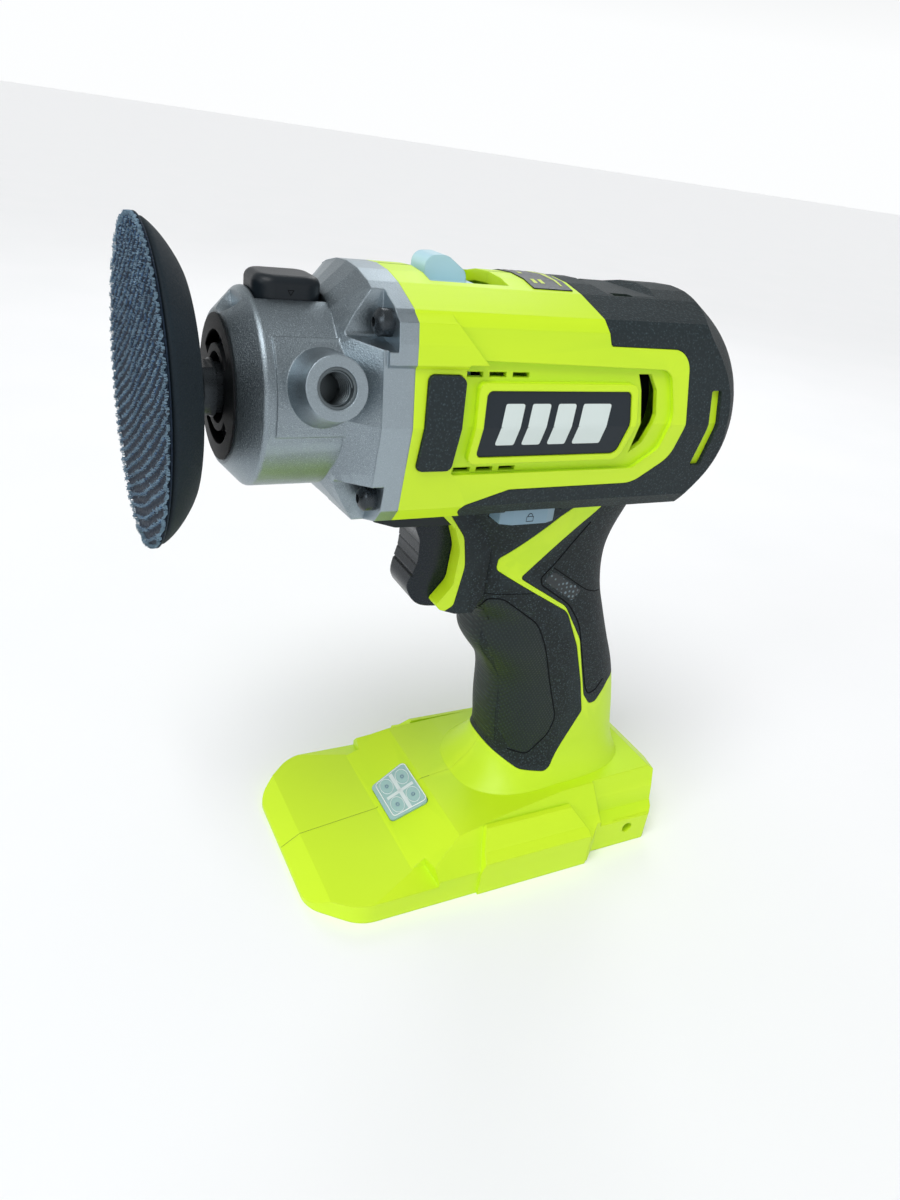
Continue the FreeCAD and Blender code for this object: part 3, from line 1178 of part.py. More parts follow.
def lock_off_button():
    """Cross bolt with slanted ends."""
    x, z = LOCK_OFF_X, LOCK_OFF_Z
    outline = [(x[0], LOCK_OFF_Y[0] + 1.4, 0.6), (x[0] + 3.4, LOCK_OFF_Y[0], 1),
               (x[1] - 3.4, LOCK_OFF_Y[0], 1),
               (x[1], LOCK_OFF_Y[0] + 1.4, 0.6), (x[1], LOCK_OFF_Y[1] - 1.4, 0.6),
               (x[1] - 3.4, LOCK_OFF_Y[1], 1),
               (x[0] + 3.4, LOCK_OFF_Y[1], 1), (x[0], LOCK_OFF_Y[1] - 1.4, 0.6)]
    return plan(outline, z)


def led_lens():
    lens = led_block(-0.1, -LED_THICKNESS, LED_PROUD)
    room = led_block(-2.4, -LED_THICKNESS - 1, -LED_THICKNESS + 1.0)
    return lens.cut(room)


def led_board():
    board = led_block(-2.4, -LED_THICKNESS - 0.4, -LED_THICKNESS + 0.4)
    chip = led_block(-6.0, -LED_THICKNESS + 0.3, -LED_THICKNESS + 0.9)
    return fuse([board, chip])


def terminal_block():
    return handle_form(WALL + 0.1).common(block(TERMINAL_BLOCK_X, (-30, 30), TERMINAL_BLOCK_Z))


def battery_terminals():
    blades = []
    for y in (-8.0, 0.0, 8.0):
        blades.append(block((18.0, 30.0), (y - 0.4, y + 0.4),
                            (TERMINAL_BLOCK_Z[0] - 12, TERMINAL_BLOCK_Z[0])))
    return Part.makeCompound(blades)


def wire_run(points, radius=WIRE_RADIUS, bend=4.0):
    """A tube along straight runs joined by tangent arcs, in a plane y = constant."""
    y = points[0][1]
    flat = [V(p[0], y, p[2]) for p in points]
    edges = []
    start = flat[0]
    for i in range(1, len(flat) - 1):
        here = flat[i]
        before = flat[i - 1] - here
        after = flat[i + 1] - here
        half = before.getAngle(after) / 2
        reach = bend / math.tan(half)
        before.normalize()
        after.normalize()
        bisector = before + after
        bisector.normalize()
        enter = here + before * reach
        leave = here + after * reach
        edges.append(Part.LineSegment(start, enter).toShape())
        edges.append(Part.Arc(enter, here + bisector * (bend / math.sin(half) - bend), leave).toShape())
        start = leave
    edges.append(Part.LineSegment(start, flat[-1]).toShape())
    path = Part.Wire(edges)
    direction = flat[1] - flat[0]
    profile = Part.Wire(Part.makeCircle(radius, flat[0], direction))
    return path.makePipeShell([profile], True, True)


def wiring():
    wires = []
    for y in (-5.0, 5.0):
        wires.append(wire_run([(14.0, y, TERMINAL_BLOCK_Z[1]), (14.0, y, SWITCH_Z[0])]))
        wires.append(wire_run([(SWITCH_X[1], y, 112.0), (30.0, y, 112.0), (39.0, y, 131.0), (39.0, y, 151.0),
                               (END_BELL_X[1], y, 151.0)], bend=3.0))
    return Part.makeCompound(wires)


# ---------------------------------------------------------------------------
# All nodes
# ---------------------------------------------------------------------------
def build_all():
    nodes = {
        "hook_face": hook_face(), "pad_foam": pad_foam(), "pad_hub": pad_hub(),
        "output_spindle": output_spindle(),
        "lock_collar": lock_collar(), "output_carrier": output_carrier(),
        "front_bearing_outer": bearing_outer(), "front_bearing_inner": bearing_inner(),
        "front_bearing_balls": bearing_balls(), "rear_bush": rear_bush(), "nose_cap": nose_cap(),
        "gearcase": gearcase(), "handle_insert_left": handle_insert(LEFT),
        "handle_insert_right": handle_insert(RIGHT),
        "spindle_lock_button": spindle_lock_button(), "lock_plunger": lock_plunger(),
        "lock_spring": lock_spring(),
        "gearcase_screws": gearcase_screws(), "gear_housing": gear_housing(),
        "ring_gear_fixed": ring_gear_fixed(),
        "ring_gear_sliding": ring_gear_sliding(), "carrier_1": carrier_1(), "shift_fork": shift_fork(),
        "motor_can": motor_can(), "motor_end_bell": motor_end_bell(), "motor_magnets": motor_magnets(),
        "motor_shaft": motor_shaft(), "motor_pinion": motor_pinion(), "armature_core": armature_core(),
        "armature_windings": armature_windings(), "commutator": commutator(), "motor_fan": motor_fan(),
        "motor_brushes": brushes(), "speed_selector": speed_selector(), "speed_label": speed_label(),
        "trigger": trigger(), "trigger_hood": trigger_hood(), "switch_module": switch_module(),
        "lock_off_button": lock_off_button(), "led_lens": led_lens(), "led_board": led_board(),
        "terminal_block": terminal_block(), "battery_terminals": battery_terminals(), "wiring": wiring(),
        "body_screws": body_screws(), "label_plates": label_plates(),
    }
    for index in range(PLANETS):
        nodes["planet_gear_1_%d" % (index + 1)] = planet_gear(STAGE_1, PLANET_1_X, index)
        nodes["planet_gear_2_%d" % (index + 1)] = planet_gear(STAGE_2, PLANET_2_X, index)
    for name, side in (("left", LEFT), ("right", RIGHT)):
        nodes[name + "_housing"] = half_housing(side)
        nodes[name + "_overmould"] = overmould(side)
        nodes[name + "_rear_grip"] = rear_grip(side)
        nodes[name + "_bumper"] = bumper(side)
    return nodes


X_SHIFT = -(PAD_FACE_X + FOOT_REAR_X) / 2.0

if __name__ == "__main__":
    os.makedirs("parts", exist_ok=True)
    for name, shape in build_all().items():
        moved = shape.copy()
        moved.translate(V(X_SHIFT, 0, 0))
        moved.exportStep("parts/%s.step" % name)
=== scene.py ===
import bpy
import bmesh
import json
import math
import random
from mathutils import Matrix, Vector, geometry, noise
from mathutils.bvhtree import BVHTree


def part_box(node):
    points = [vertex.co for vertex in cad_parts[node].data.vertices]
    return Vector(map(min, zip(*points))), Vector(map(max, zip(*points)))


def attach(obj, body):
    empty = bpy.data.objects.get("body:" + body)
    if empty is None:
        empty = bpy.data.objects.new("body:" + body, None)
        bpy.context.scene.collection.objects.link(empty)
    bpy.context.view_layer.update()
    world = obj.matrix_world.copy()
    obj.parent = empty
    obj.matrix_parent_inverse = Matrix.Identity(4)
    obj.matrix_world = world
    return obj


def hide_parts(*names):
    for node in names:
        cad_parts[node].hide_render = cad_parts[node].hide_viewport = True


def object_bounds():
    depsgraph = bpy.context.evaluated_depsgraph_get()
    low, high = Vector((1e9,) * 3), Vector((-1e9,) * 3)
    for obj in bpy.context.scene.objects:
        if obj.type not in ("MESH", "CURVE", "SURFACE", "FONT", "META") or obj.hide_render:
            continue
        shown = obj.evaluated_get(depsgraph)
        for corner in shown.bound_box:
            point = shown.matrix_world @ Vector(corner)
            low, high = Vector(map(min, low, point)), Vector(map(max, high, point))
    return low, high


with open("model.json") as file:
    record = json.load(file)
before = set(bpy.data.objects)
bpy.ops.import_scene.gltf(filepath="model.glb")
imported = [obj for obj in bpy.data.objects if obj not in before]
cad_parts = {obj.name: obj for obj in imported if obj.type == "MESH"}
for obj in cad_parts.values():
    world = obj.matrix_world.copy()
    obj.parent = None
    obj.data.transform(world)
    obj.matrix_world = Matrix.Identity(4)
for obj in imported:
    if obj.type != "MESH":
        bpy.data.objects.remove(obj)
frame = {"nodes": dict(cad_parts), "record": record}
CAD_BOX = [list(corner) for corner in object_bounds()]
random.seed(11)

MM = 0.001


# ---------------------------------------------------------------------------
# Materials.  Every one is a node tree with grain, blotches, worn edges and rounded corners.
# ---------------------------------------------------------------------------
class Tree:
    """A material's node tree with short calls for the nodes used here."""

    def __init__(self, name):
        self.material = bpy.data.materials.new(name)
        self.material.use_nodes = True
        self.tree = self.material.node_tree
        self.shader = self.tree.nodes["Principled BSDF"]
        self.coords = self.node("ShaderNodeTexCoord").outputs["Object"]

    def node(self, kind, inputs=None, **settings):
        made = self.tree.nodes.new(kind)
        for key, value in settings.items():
            setattr(made, key, value)
        for key, value in (inputs or {}).items():
            self.put(made.inputs[key], value)
        return made

    def put(self, socket, value):
        if isinstance(value, bpy.types.NodeSocket):
            self.tree.links.new(value, socket)
        elif isinstance(value, (tuple, list)) and len(value) == 3 and len(socket.default_value) == 4:
            socket.default_value = (*value, 1.0)
        else:
            socket.default_value = value

    def noise(self, size, detail=3.0, rough=0.55, coords=None):
        """Noise with features of a size in millimetres."""
        return self.node("ShaderNodeTexNoise", {"Vector": coords or self.coords, "Scale": 1.0 / (size * MM),
                                                "Detail": detail, "Roughness": rough}).outputs["Fac"]

    def cells(self, size, coords=None, feature="F1"):
        return self.node("ShaderNodeTexVoronoi", {"Vector": coords or self.coords,
                                                  "Scale": 1.0 / (size * MM)},
                         feature=feature).outputs["Distance"]

    def stretched(self, factors):
        """Object coordinates scaled per axis, for brushed or turned grain."""
        return self.node("ShaderNodeMapping", {"Vector": self.coords, "Scale": factors}).outputs["Vector"]

    def band(self, value, low, high, out_low=0.0, out_high=1.0):
        """Value mapped from a range to a range, clamped."""
        return self.node("ShaderNodeMapRange", {"Value": value, "From Min": low, "From Max": high,
                                                "To Min": out_low, "To Max": out_high}).outputs["Result"]

    def math(self, operation, a, b=0.0):
        made = self.node("ShaderNodeMath", operation=operation)
        self.put(made.inputs[0], a)
        self.put(made.inputs[1], b)
        return made.outputs[0]

    def mix(self, factor, a, b):
        made = self.node("ShaderNodeMix", data_type="RGBA")
        self.put(made.inputs[0], factor)
        self.put(made.inputs[6], a)
        self.put(made.inputs[7], b)
        return made.outputs[2]

    def bumps(self, layers, radius):
        """Bump layers (height, depth in millimetres, strength) over corners rounded by a radius."""
        normal = None
        if radius:
            normal = self.node("ShaderNodeBevel", {"Radius": radius * MM}, samples=4).outputs["Normal"]
        for height, depth, strength in layers:
            inputs = {"Height": height, "Distance": depth * MM, "Strength": strength}
            if normal:
                inputs["Normal"] = normal
            normal = self.node("ShaderNodeBump", inputs).outputs["Normal"]
        return normal

    def edges(self):
        """1 on outer edges, 0 elsewhere."""
        pointiness = self.node("ShaderNodeNewGeometry").outputs["Pointiness"]
        return self.band(pointiness, 0.515, 0.56)


def shade(colour, factor):
    return tuple(min(1.0, channel * factor) for channel in colour)


def plastic(name, colour, rough=0.42, grain=0.25, depth=0.02, blotch=0.05, worn=0.25, radius=0.3, coat=0.0,
            gloss=0.5):
    """Moulded plastic with spark-eroded grain."""
    t = Tree(name)
    fine = t.noise(grain, 2.0)
    broad = t.noise(22.0, 3.0)
    body = t.mix(broad, shade(colour, 1.0 - blotch), shade(colour, 1.0 + blotch))
    body = t.mix(t.math("MULTIPLY", t.edges(), worn), body, shade(colour, 1.5))
    t.put(t.shader.inputs["Base Color"], body)
    uneven = t.math("ADD", t.band(fine, 0.3, 0.7, rough - 0.05, rough + 0.05),
                    t.band(broad, 0.3, 0.7, -0.03, 0.03))
    t.put(t.shader.inputs["Roughness"], uneven)
    t.put(t.shader.inputs["Coat Weight"], coat)
    t.put(t.shader.inputs["Specular IOR Level"], gloss)
    t.put(t.shader.inputs["Normal"], t.bumps([(fine, depth, 0.6), (t.noise(6.0, 2.0), 0.03, 0.25)], radius))
    return t.material


def rubber(name, colour, rough=0.62, pebble=0.75, depth=0.09, painted_glint=0.9, radius=0.35):
    """Soft overmould with a coarse pebbled grain, with painted highlights on the pebble tops."""
    t = Tree(name)
    pebbles = t.cells(pebble)
    fine = t.noise(0.3, 3.0)
    broad = t.noise(25.0, 3.0)
    tops = t.band(pebbles, 0.15, 0.5, 1.0, 0.0)
    body = t.mix(broad, shade(colour, 0.85), shade(colour, 1.2))
    # Painted highlights: the pebble tops are lightened many times in the colour, where light would catch
    # them.
    body = t.mix(t.math("MULTIPLY", t.math("MULTIPLY", tops, t.band(fine, 0.47, 0.58)), painted_glint), body,
                 shade(colour, 7.5))
    body = t.mix(t.math("MULTIPLY", t.edges(), 0.35), body, shade(colour, 2.6))
    t.put(t.shader.inputs["Base Color"], body)
    t.put(t.shader.inputs["Roughness"], t.band(fine, 0.3, 0.75, rough - 0.08, rough + 0.1))
    t.put(t.shader.inputs["Specular IOR Level"], 0.25)
    t.put(t.shader.inputs["Normal"], t.bumps([(tops, depth, 0.8), (fine, 0.03, 0.6)], radius))
    return t.material


def casting(name, colour):
    """Bead-blasted aluminium: a fine grain with bright flecks painted in as glints for its sparkle, a little
    cloudiness.
    """
    t = Tree(name)
    fine = t.noise(0.22, 4.0, 0.7)
    grit = t.cells(0.42)
    broad = t.noise(14.0, 4.0)
    body = t.mix(broad, shade(colour, 0.86), shade(colour, 1.1))
    # Painted glints: bright flecks of the fine grain are lightened in the colour as sparkle; the dark flecks
    # below are random tone.
    body = t.mix(t.band(fine, 0.56, 0.70), body, shade(colour, 2.2))
    body = t.mix(t.band(fine, 0.44, 0.30), body, shade(colour, 0.4))
    body = t.mix(t.math("MULTIPLY", t.edges(), 0.5), body, shade(colour, 1.6))
    t.put(t.shader.inputs["Base Color"], body)
    t.put(t.shader.inputs["Metallic"], 1.0)
    t.put(t.shader.inputs["Roughness"], t.band(fine, 0.3, 0.7, 0.28, 0.48))
    t.put(t.shader.inputs["Normal"], t.bumps([(grit, 0.05, 0.7), (fine, 0.05, 0.7)], 0.5))
    return t.material


def metal(name, colour, rough=0.3, along=(1, 1, 1), grain=0.3, radius=0.15, metallic=1.0):
    """Machined metal with fine tool marks, stretched along one axis."""
    t = Tree(name)
    marks = t.noise(grain, 3.0, 0.6, t.stretched(along))
    broad = t.noise(9.0, 3.0)
    body = t.mix(broad, shade(colour, 0.82), shade(colour, 1.08))
    body = t.mix(t.math("MULTIPLY", t.edges(), 0.5), body, shade(colour, 1.5))
    t.put(t.shader.inputs["Base Color"], body)
    t.put(t.shader.inputs["Metallic"], metallic)
    t.put(t.shader.inputs["Roughness"], t.math("ADD", t.band(marks, 0.3, 0.7, rough - 0.08, rough + 0.08),
                                              t.band(broad, 0.3, 0.7, -0.04, 0.06)))
    t.put(t.shader.inputs["Normal"], t.bumps([(marks, 0.012, 0.5)], radius))
    return t.material


def foam(name, colour):
    """Skin of closed-cell foam: pin holes with painted shade in them, and a slight bloom."""
    t = Tree(name)
    pores = t.cells(0.55)
    fine = t.noise(0.35, 3.0)
    broad = t.noise(11.0, 4.0)
    body = t.mix(broad, shade(colour, 0.8), shade(colour, 1.25))
    # Painted shade: the pin holes are darkened in the colour.
    body = t.mix(t.band(pores, 0.22, 0.08), body, shade(colour, 0.35))
    body = t.mix(t.band(fine, 0.6, 0.8), body, shade(colour, 2.2))
    t.put(t.shader.inputs["Base Color"], body)
    t.put(t.shader.inputs["Roughness"], t.band(fine, 0.3, 0.7, 0.62, 0.85))
    t.put(t.shader.inputs["Specular IOR Level"], 0.22)
    t.put(t.shader.inputs["Normal"], t.bumps([(pores, 0.08, 0.6), (fine, 0.05, 0.5), (broad, 0.3, 0.3)], 0))
    return t.material


def hook_tape(name, colour):
    """Hook tape: dark, with painted shade in its pits and painted highlights in thread-like streaks on the
    crests of its rows.
    """
    t = Tree(name)
    threads = t.noise(0.35, 3.0, 0.6, t.stretched((1.0, 1.0, 0.35)))
    hooks = t.cells(0.6)
    broad = t.noise(9.0, 3.0)
    place = t.node("ShaderNodeSeparateXYZ", {"Vector": t.coords}).outputs["X"]
    crest = t.band(place, HOOK_LEVEL - 0.45 * MM, HOOK_LEVEL - 0.85 * MM)
    body = t.mix(broad, shade(colour, 0.6), shade(colour, 1.2))
    # Painted highlights: thread-like streaks on the crests of the rows are lightened many times in the
    # colour.
    body = t.mix(t.math("MULTIPLY", crest, t.band(threads, 0.42, 0.6)), body, shade(colour, 11.0))
    # Painted shade: the pits of the tape are darkened in the colour.
    body = t.mix(t.band(hooks, 0.5, 0.2), body, shade(colour, 0.5))
    t.put(t.shader.inputs["Base Color"], body)
    t.put(t.shader.inputs["Roughness"], t.band(threads, 0.3, 0.7, 0.45, 0.8))
    t.put(t.shader.inputs["Specular IOR Level"], 0.2)
    t.put(t.shader.inputs["Normal"], t.bumps([(hooks, 0.25, 0.8), (threads, 0.12, 0.8)], 0))
    return t.material


def weave(name, colour, pitch=1.15):
    """Fine diamonds pressed into rubber, with painted highlights on their raised tops."""
    t = Tree(name)
    split = t.node("ShaderNodeSeparateXYZ", {"Vector": t.coords})
    lean = t.math("MULTIPLY", split.outputs["X"], 1.0)
    rise = t.math("MULTIPLY", split.outputs["Z"], 0.62)
    turns = 2 * math.pi / (pitch * MM)
    first = t.math("SINE", t.math("MULTIPLY", t.math("ADD", lean, rise), turns))
    second = t.math("SINE", t.math("MULTIPLY", t.math("SUBTRACT", lean, rise), turns))
    diamonds = t.math("MULTIPLY", t.math("ADD", first, 1.0), t.math("ADD", second, 1.0))
    fine = t.noise(0.3, 3.0)
    broad = t.noise(18.0, 3.0)
    body = t.mix(broad, shade(colour, 0.85), shade(colour, 1.25))
    # Painted highlights: the raised tops of the diamonds are lightened in the colour.
    body = t.mix(t.band(diamonds, 1.2, 3.6, 0.0, 0.6), body, shade(colour, 2.6))
    t.put(t.shader.inputs["Base Color"], body)
    t.put(t.shader.inputs["Roughness"], t.band(fine, 0.3, 0.75, 0.42, 0.62))
    t.put(t.shader.inputs["Specular IOR Level"], 0.3)
    t.put(t.shader.inputs["Normal"], t.bumps([(diamonds, 0.035, 0.8), (fine, 0.02, 0.5)], 0))
    return t.material


def dots(name, colour, pitch=1.5):
    """Small raised dots in rows, with painted highlights on their tops."""
    t = Tree(name)
    spots = t.node("ShaderNodeTexVoronoi", {"Vector": t.coords, "Scale": 1.0 / (pitch * MM),
                                            "Randomness": 0.25},
                   feature="F1").outputs["Distance"]
    fine = t.noise(0.3, 3.0)
    tops = t.band(spots, 0.34, 0.2)
    base = t.mix(fine, colour, shade(colour, 1.4))
    # Painted highlights: the dot tops are lightened many times in the colour.
    t.put(t.shader.inputs["Base Color"], t.mix(tops, base, shade(colour, 11.0)))
    t.put(t.shader.inputs["Roughness"], t.band(fine, 0.3, 0.75, 0.45, 0.65))
    t.put(t.shader.inputs["Normal"], t.bumps([(tops, 0.12, 0.8), (fine, 0.03, 0.5)], 0))
    return t.material


def clear(name, colour, through):
    """Milky polycarbonate with faint flow marks."""
    t = Tree(name)
    broad = t.noise(5.0, 3.0)
    t.put(t.shader.inputs["Base Color"], t.mix(broad, shade(colour, 0.95), colour))
    t.put(t.shader.inputs["Transmission Weight"], through)
    t.put(t.shader.inputs["Roughness"], t.band(broad, 0.3, 0.7, 0.05, 0.12))
    t.put(t.shader.inputs["IOR"], 1.5)
    t.put(t.shader.inputs["Normal"], t.bumps([(broad, 0.04, 0.3)], 0.2))
    return t.material


HOOK_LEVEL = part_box("hook_face")[0][0] + 1.15 * MM      # lowest level of the tape between its rows
LIME = (0.53, 0.78, 0.008)
LIVE = {
    "lime": plastic("lime_plastic", LIME, rough=0.46, grain=0.22, depth=0.015, blotch=0.02, worn=0.15,
                    radius=0.45),
    "rubber_dark": rubber("grip_rubber", (0.009, 0.014, 0.016)),
    "black_plastic": plastic("black_plastic", (0.006, 0.010, 0.014), rough=0.4, blotch=0.15, worn=0.3,
                             radius=0.5,
                             gloss=0.3),
    "grey_plastic": plastic("grey_plastic", (0.38, 0.58, 0.66), rough=0.4, blotch=0.03, radius=0.5),
    "lock_grey": plastic("lock_grey", (0.17, 0.27, 0.34), rough=0.42, blotch=0.05, radius=0.5),
    "trigger_black": plastic("trigger_gloss", (0.005, 0.010, 0.015), rough=0.26, grain=0.5, depth=0.006,
                             blotch=0.1,
                             radius=0.8, gloss=0.3),
    "cap_black": plastic("cap_black", (0.004, 0.005, 0.006), rough=0.5, blotch=0.2, worn=0.6, radius=0.3,
                         gloss=0.2),
    "insert_dark": metal("insert_steel", (0.10, 0.12, 0.13), rough=0.36, radius=0.3, metallic=0.8),
    "cast_aluminium": casting("blasted_aluminium", (0.25, 0.295, 0.325)),
    "steel": metal("turned_steel", (0.55, 0.60, 0.63), rough=0.28, along=(1, 0.25, 0.25)),
    "black_steel": metal("black_oxide_steel", (0.035, 0.042, 0.048), rough=0.3, radius=0.3, metallic=0.7),
    "foam_black": foam("foam_skin", (0.009, 0.017, 0.024)),
    "hook_black": hook_tape("hook_tape", (0.008, 0.020, 0.040)),
    "label_black": plastic("label_satin", (0.008, 0.014, 0.020), rough=0.36, grain=0.6, depth=0.006,
                           radius=0.2,
                           gloss=0.3),
    "sintered": metal("sintered_steel", (0.36, 0.36, 0.37), rough=0.45, grain=0.2),
    "bronze": metal("sintered_bronze", (0.50, 0.31, 0.12), rough=0.42, grain=0.2),
    "copper": metal("enamelled_copper", (0.62, 0.24, 0.09), rough=0.3, along=(1, 1, 0.2)),
    "magnet": plastic("ferrite", (0.05, 0.05, 0.052), rough=0.6, grain=0.4, depth=0.05, blotch=0.2),
    "board_white": plastic("solder_mask", (0.75, 0.80, 0.76), rough=0.35, blotch=0.04),
    "carbon": plastic("brush_carbon", (0.03, 0.03, 0.032), rough=0.55, grain=0.3, depth=0.04, blotch=0.2),
    "wire_red": plastic("wire_sleeve", (0.45, 0.02, 0.02), rough=0.4, blotch=0.1),
    "grip_weave": weave("grip_weave", (0.009, 0.016, 0.016)),
    "grip_dots": dots("grip_dots", (0.012, 0.017, 0.020), 1.7),
    # Painted shade for the sunk panel and seam lines; also the colour of the direction triangles.
    "groove_shade_and_mark": plastic("groove_shadow", (0.003, 0.004, 0.005), rough=0.8, blotch=0.2, radius=0,
                            gloss=0.1),
    "hook_bright": plastic("hook_nylon", (0.16, 0.25, 0.33), rough=0.38, blotch=0.7, radius=0, gloss=0.3),
    "mark_white": plastic("mark_white", (0.62, 0.70, 0.68), rough=0.4, blotch=0.03, radius=0),
    "mark_lime": plastic("mark_lime", (0.50, 0.62, 0.02), rough=0.4, blotch=0.04, radius=0),
    # Painted shade along the housing's parting line.
    "parting_shade": plastic("seam_shadow", (0.16, 0.26, 0.01), rough=0.6, blotch=0.1, radius=0),
    "lens_pale": clear("lens_pale", (0.44, 0.68, 0.64), 0.25),
}

SLOT_OF = {part["node"]: part["material_slot"] for part in frame["record"]["subparts"]}


def dress(piece, material):
    piece.data.materials.clear()
    piece.data.materials.append(material)


def node_object(name):
    return frame["nodes"][name]


OWN_MATERIAL = {"lock_off_button": "lock_grey", "trigger": "trigger_black", "nose_cap": "cap_black",
                "led_lens": "lens_pale",
                "handle_insert_left": "insert_dark", "handle_insert_right": "insert_dark"}
for node_name in frame["nodes"]:
    piece = node_object(node_name)
    if not piece.material_slots:
        piece.data.materials.append(None)
    for holder in piece.material_slots:
        holder.link = "OBJECT"
        holder.material = LIVE[OWN_MATERIAL.get(node_name, SLOT_OF[node_name])]


# ---------------------------------------------------------------------------
# Helpers for pieces that lie on the CAD surfaces.  Outlines are (x, z[, radius]) in millimetres.
# ---------------------------------------------------------------------------
def new_piece(name, vertices, faces, body, material):
    data = bpy.data.meshes.new(name)
    data.from_pydata([tuple(v) for v in vertices], [], faces)
    data.validate()
    made = bpy.data.objects.new(name, data)
    bpy.context.collection.objects.link(made)
    data.materials.append(material)
    for polygon in data.polygons:
        polygon.use_smooth = True
    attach(made, body)
    return made


def surface_tree(names):
    """One ray-casting tree over the meshes of several CAD nodes."""
    vertices, faces = [], []
    for name in names:
        data = node_object(name).data
        start = len(vertices)
        vertices += [v.co.copy() for v in data.vertices]
        faces += [[start + i for i in polygon.vertices] for polygon in data.polygons]
    return BVHTree.FromPolygons(vertices, faces)


def on_side(tree, x, z, side):
    """The outermost point at (x, z) on the left (-1) or right (+1), with its outward normal."""
    start = Vector((x * MM, side * 0.2, z * MM))
    place, normal, index, distance = tree.ray_cast(start, Vector((0, -side, 0)))
    if place is None:
        place, normal, index, distance = tree.find_nearest(Vector((x * MM, side * 0.012, z * MM)))
    if normal.y * side < 0:
        normal = -normal
    return place, normal


def rounded(points, step=0.8):
    """A closed (x, z) outline with its corners rounded, as points about one step apart."""
    count = len(points)
    path = []
    for i, point in enumerate(points):
        here = Vector(point[:2])
        radius = point[2] if len(point) > 2 else 0.0
        before = Vector(points[i - 1][:2]) - here
        after = Vector(points[(i + 1) % count][:2]) - here
        if radius == 0.0:
            path.append(here)
            continue
        half = before.angle(after) / 2.0
        reach = min(radius / math.tan(half), 0.45 * before.length, 0.45 * after.length)
        first, last = here + before.normalized() * reach, here + after.normalized() * reach
        for k in range(7):
            s = k / 6.0
            path.append(first * (1 - s) ** 2 + here * 2 * s * (1 - s) + last * s ** 2)
    dense = []
    for i, a in enumerate(path):
        b = path[(i + 1) % len(path)]
        pieces = max(1, int((b - a).length / step))
        dense += [a.lerp(b, k / pieces) for k in range(pieces)]
    return dense


def tube(name, places, radius, body, material, closed=False, sides=6):
    """A thin tube along points, with a frame carried from point to point."""
    count = len(places)
    vertices, faces = [], []
    side_axis = Vector((0.31, 0.84, 0.44))
    for i, place in enumerate(places):
        if closed:
            along = places[(i + 1) % count] - places[i - 1]
        else:
            along = places[min(i + 1, count - 1)] - places[max(i - 1, 0)]
        along.normalize()
        side_axis = (side_axis - along * side_axis.dot(along)).normalized()
        other = along.cross(side_axis)
        for k in range(sides):
            angle = 2 * math.pi * k / sides
            vertices.append(place + (side_axis * math.cos(angle) + other * math.sin(angle)) * radius)
    for i in range(count if closed else count - 1):
        a, b = i * sides, ((i + 1) % count) * sides
        for k in range(sides):
            faces.append((a + k, a + (k + 1) % sides, b + (k + 1) % sides, b + k))
    if not closed:
        faces.append(tuple(range(sides))[::-1])
        faces.append(tuple(range((count - 1) * sides, count * sides)))
    return new_piece(name, vertices, faces, body, material)


def groove(name, outline, side, tree, radius, body, material, closed=True, sink=0.3):
    """A dark line sunk in a surface along an outline: painted shade in a groove."""
    places = []
    for point in outline:
        place, normal = on_side(tree, point.x, point.y, side)
        places.append(place - normal * radius * MM * sink)
    return tube(name, places, radius * MM, body, material, closed)


def patch(name, outline, side, tree, height, body, material, pitch=0.9, edge=-0.12):
    """A sheet over the inside of an outline that follows the surface under it."""
    border = list(outline)
    count = len(border)
    low = Vector((min(p.x for p in border), min(p.y for p in border)))
    high = Vector((max(p.x for p in border), max(p.y for p in border)))
    inner = []
    for i in range(int((high.x - low.x) / pitch) + 1):
        for j in range(int((high.y - low.y) / pitch) + 1):
            point = Vector((low.x + (i + 0.5 * (j % 2)) * pitch, low.y + j * pitch))
            if inside(point, border) and min((point - b).length for b in border) > 0.55 * pitch:
                inner.append(point)
    made = geometry.delaunay_2d_cdt(border + inner, [], [list(range(count))], 1, 1e-4)
    flat, faces, origins = made[0], made[2], made[3]
    vertices = []
    for index, point in enumerate(flat):
        place, normal = on_side(tree, point.x, point.y, side)
        on_edge = any(k < count for k in origins[index])
        vertices.append(place + normal * (edge if on_edge else height) * MM)
    if side > 0:
        faces = [tuple(reversed(face)) for face in faces]
    return new_piece(name, vertices, faces, body, material)


def inside(point, border):
    result = False
    for i, a in enumerate(border):
        b = border[i - 1]
        if (a.y > point.y) != (b.y > point.y):
            if point.x < (b.x - a.x) * (point.y - a.y) / (b.y - a.y) + a.x:
                result = not result
    return result


def open_path(points, step=0.8):
    """Points along an open polyline with rounded corners, about one step apart."""
    corners = [(p[0], p[1], p[2] if len(p) > 2 else 3.0) for p in points]
    path = [Vector(corners[0][:2])]
    for i in range(1, len(corners) - 1):
        here = Vector(corners[i][:2])
        before, after = Vector(corners[i - 1][:2]) - here, Vector(corners[i + 1][:2]) - here
        reach = min(corners[i][2], 0.4 * before.length, 0.4 * after.length)
        first, last = here + before.normalized() * reach, here + after.normalized() * reach
        path += [first * (1 - s) ** 2 + here * 2 * s * (1 - s) + last * s ** 2
                 for s in (0, 0.25, 0.5, 0.75, 1)]
    path.append(Vector(corners[-1][:2]))
    dense = []
    for a, b in zip(path, path[1:]):
        pieces = max(1, int((b - a).length / step))
        dense += [a.lerp(b, k / pieces) for k in range(pieces)]
    return dense + [path[-1]]


def shifted(points):
    """Side-view outlines are written in the drawing's frame, whose origin is ahead of the tool's middle."""
    return [(p[0] + DRAWING_SHIFT,) + tuple(p[1:]) for p in points]


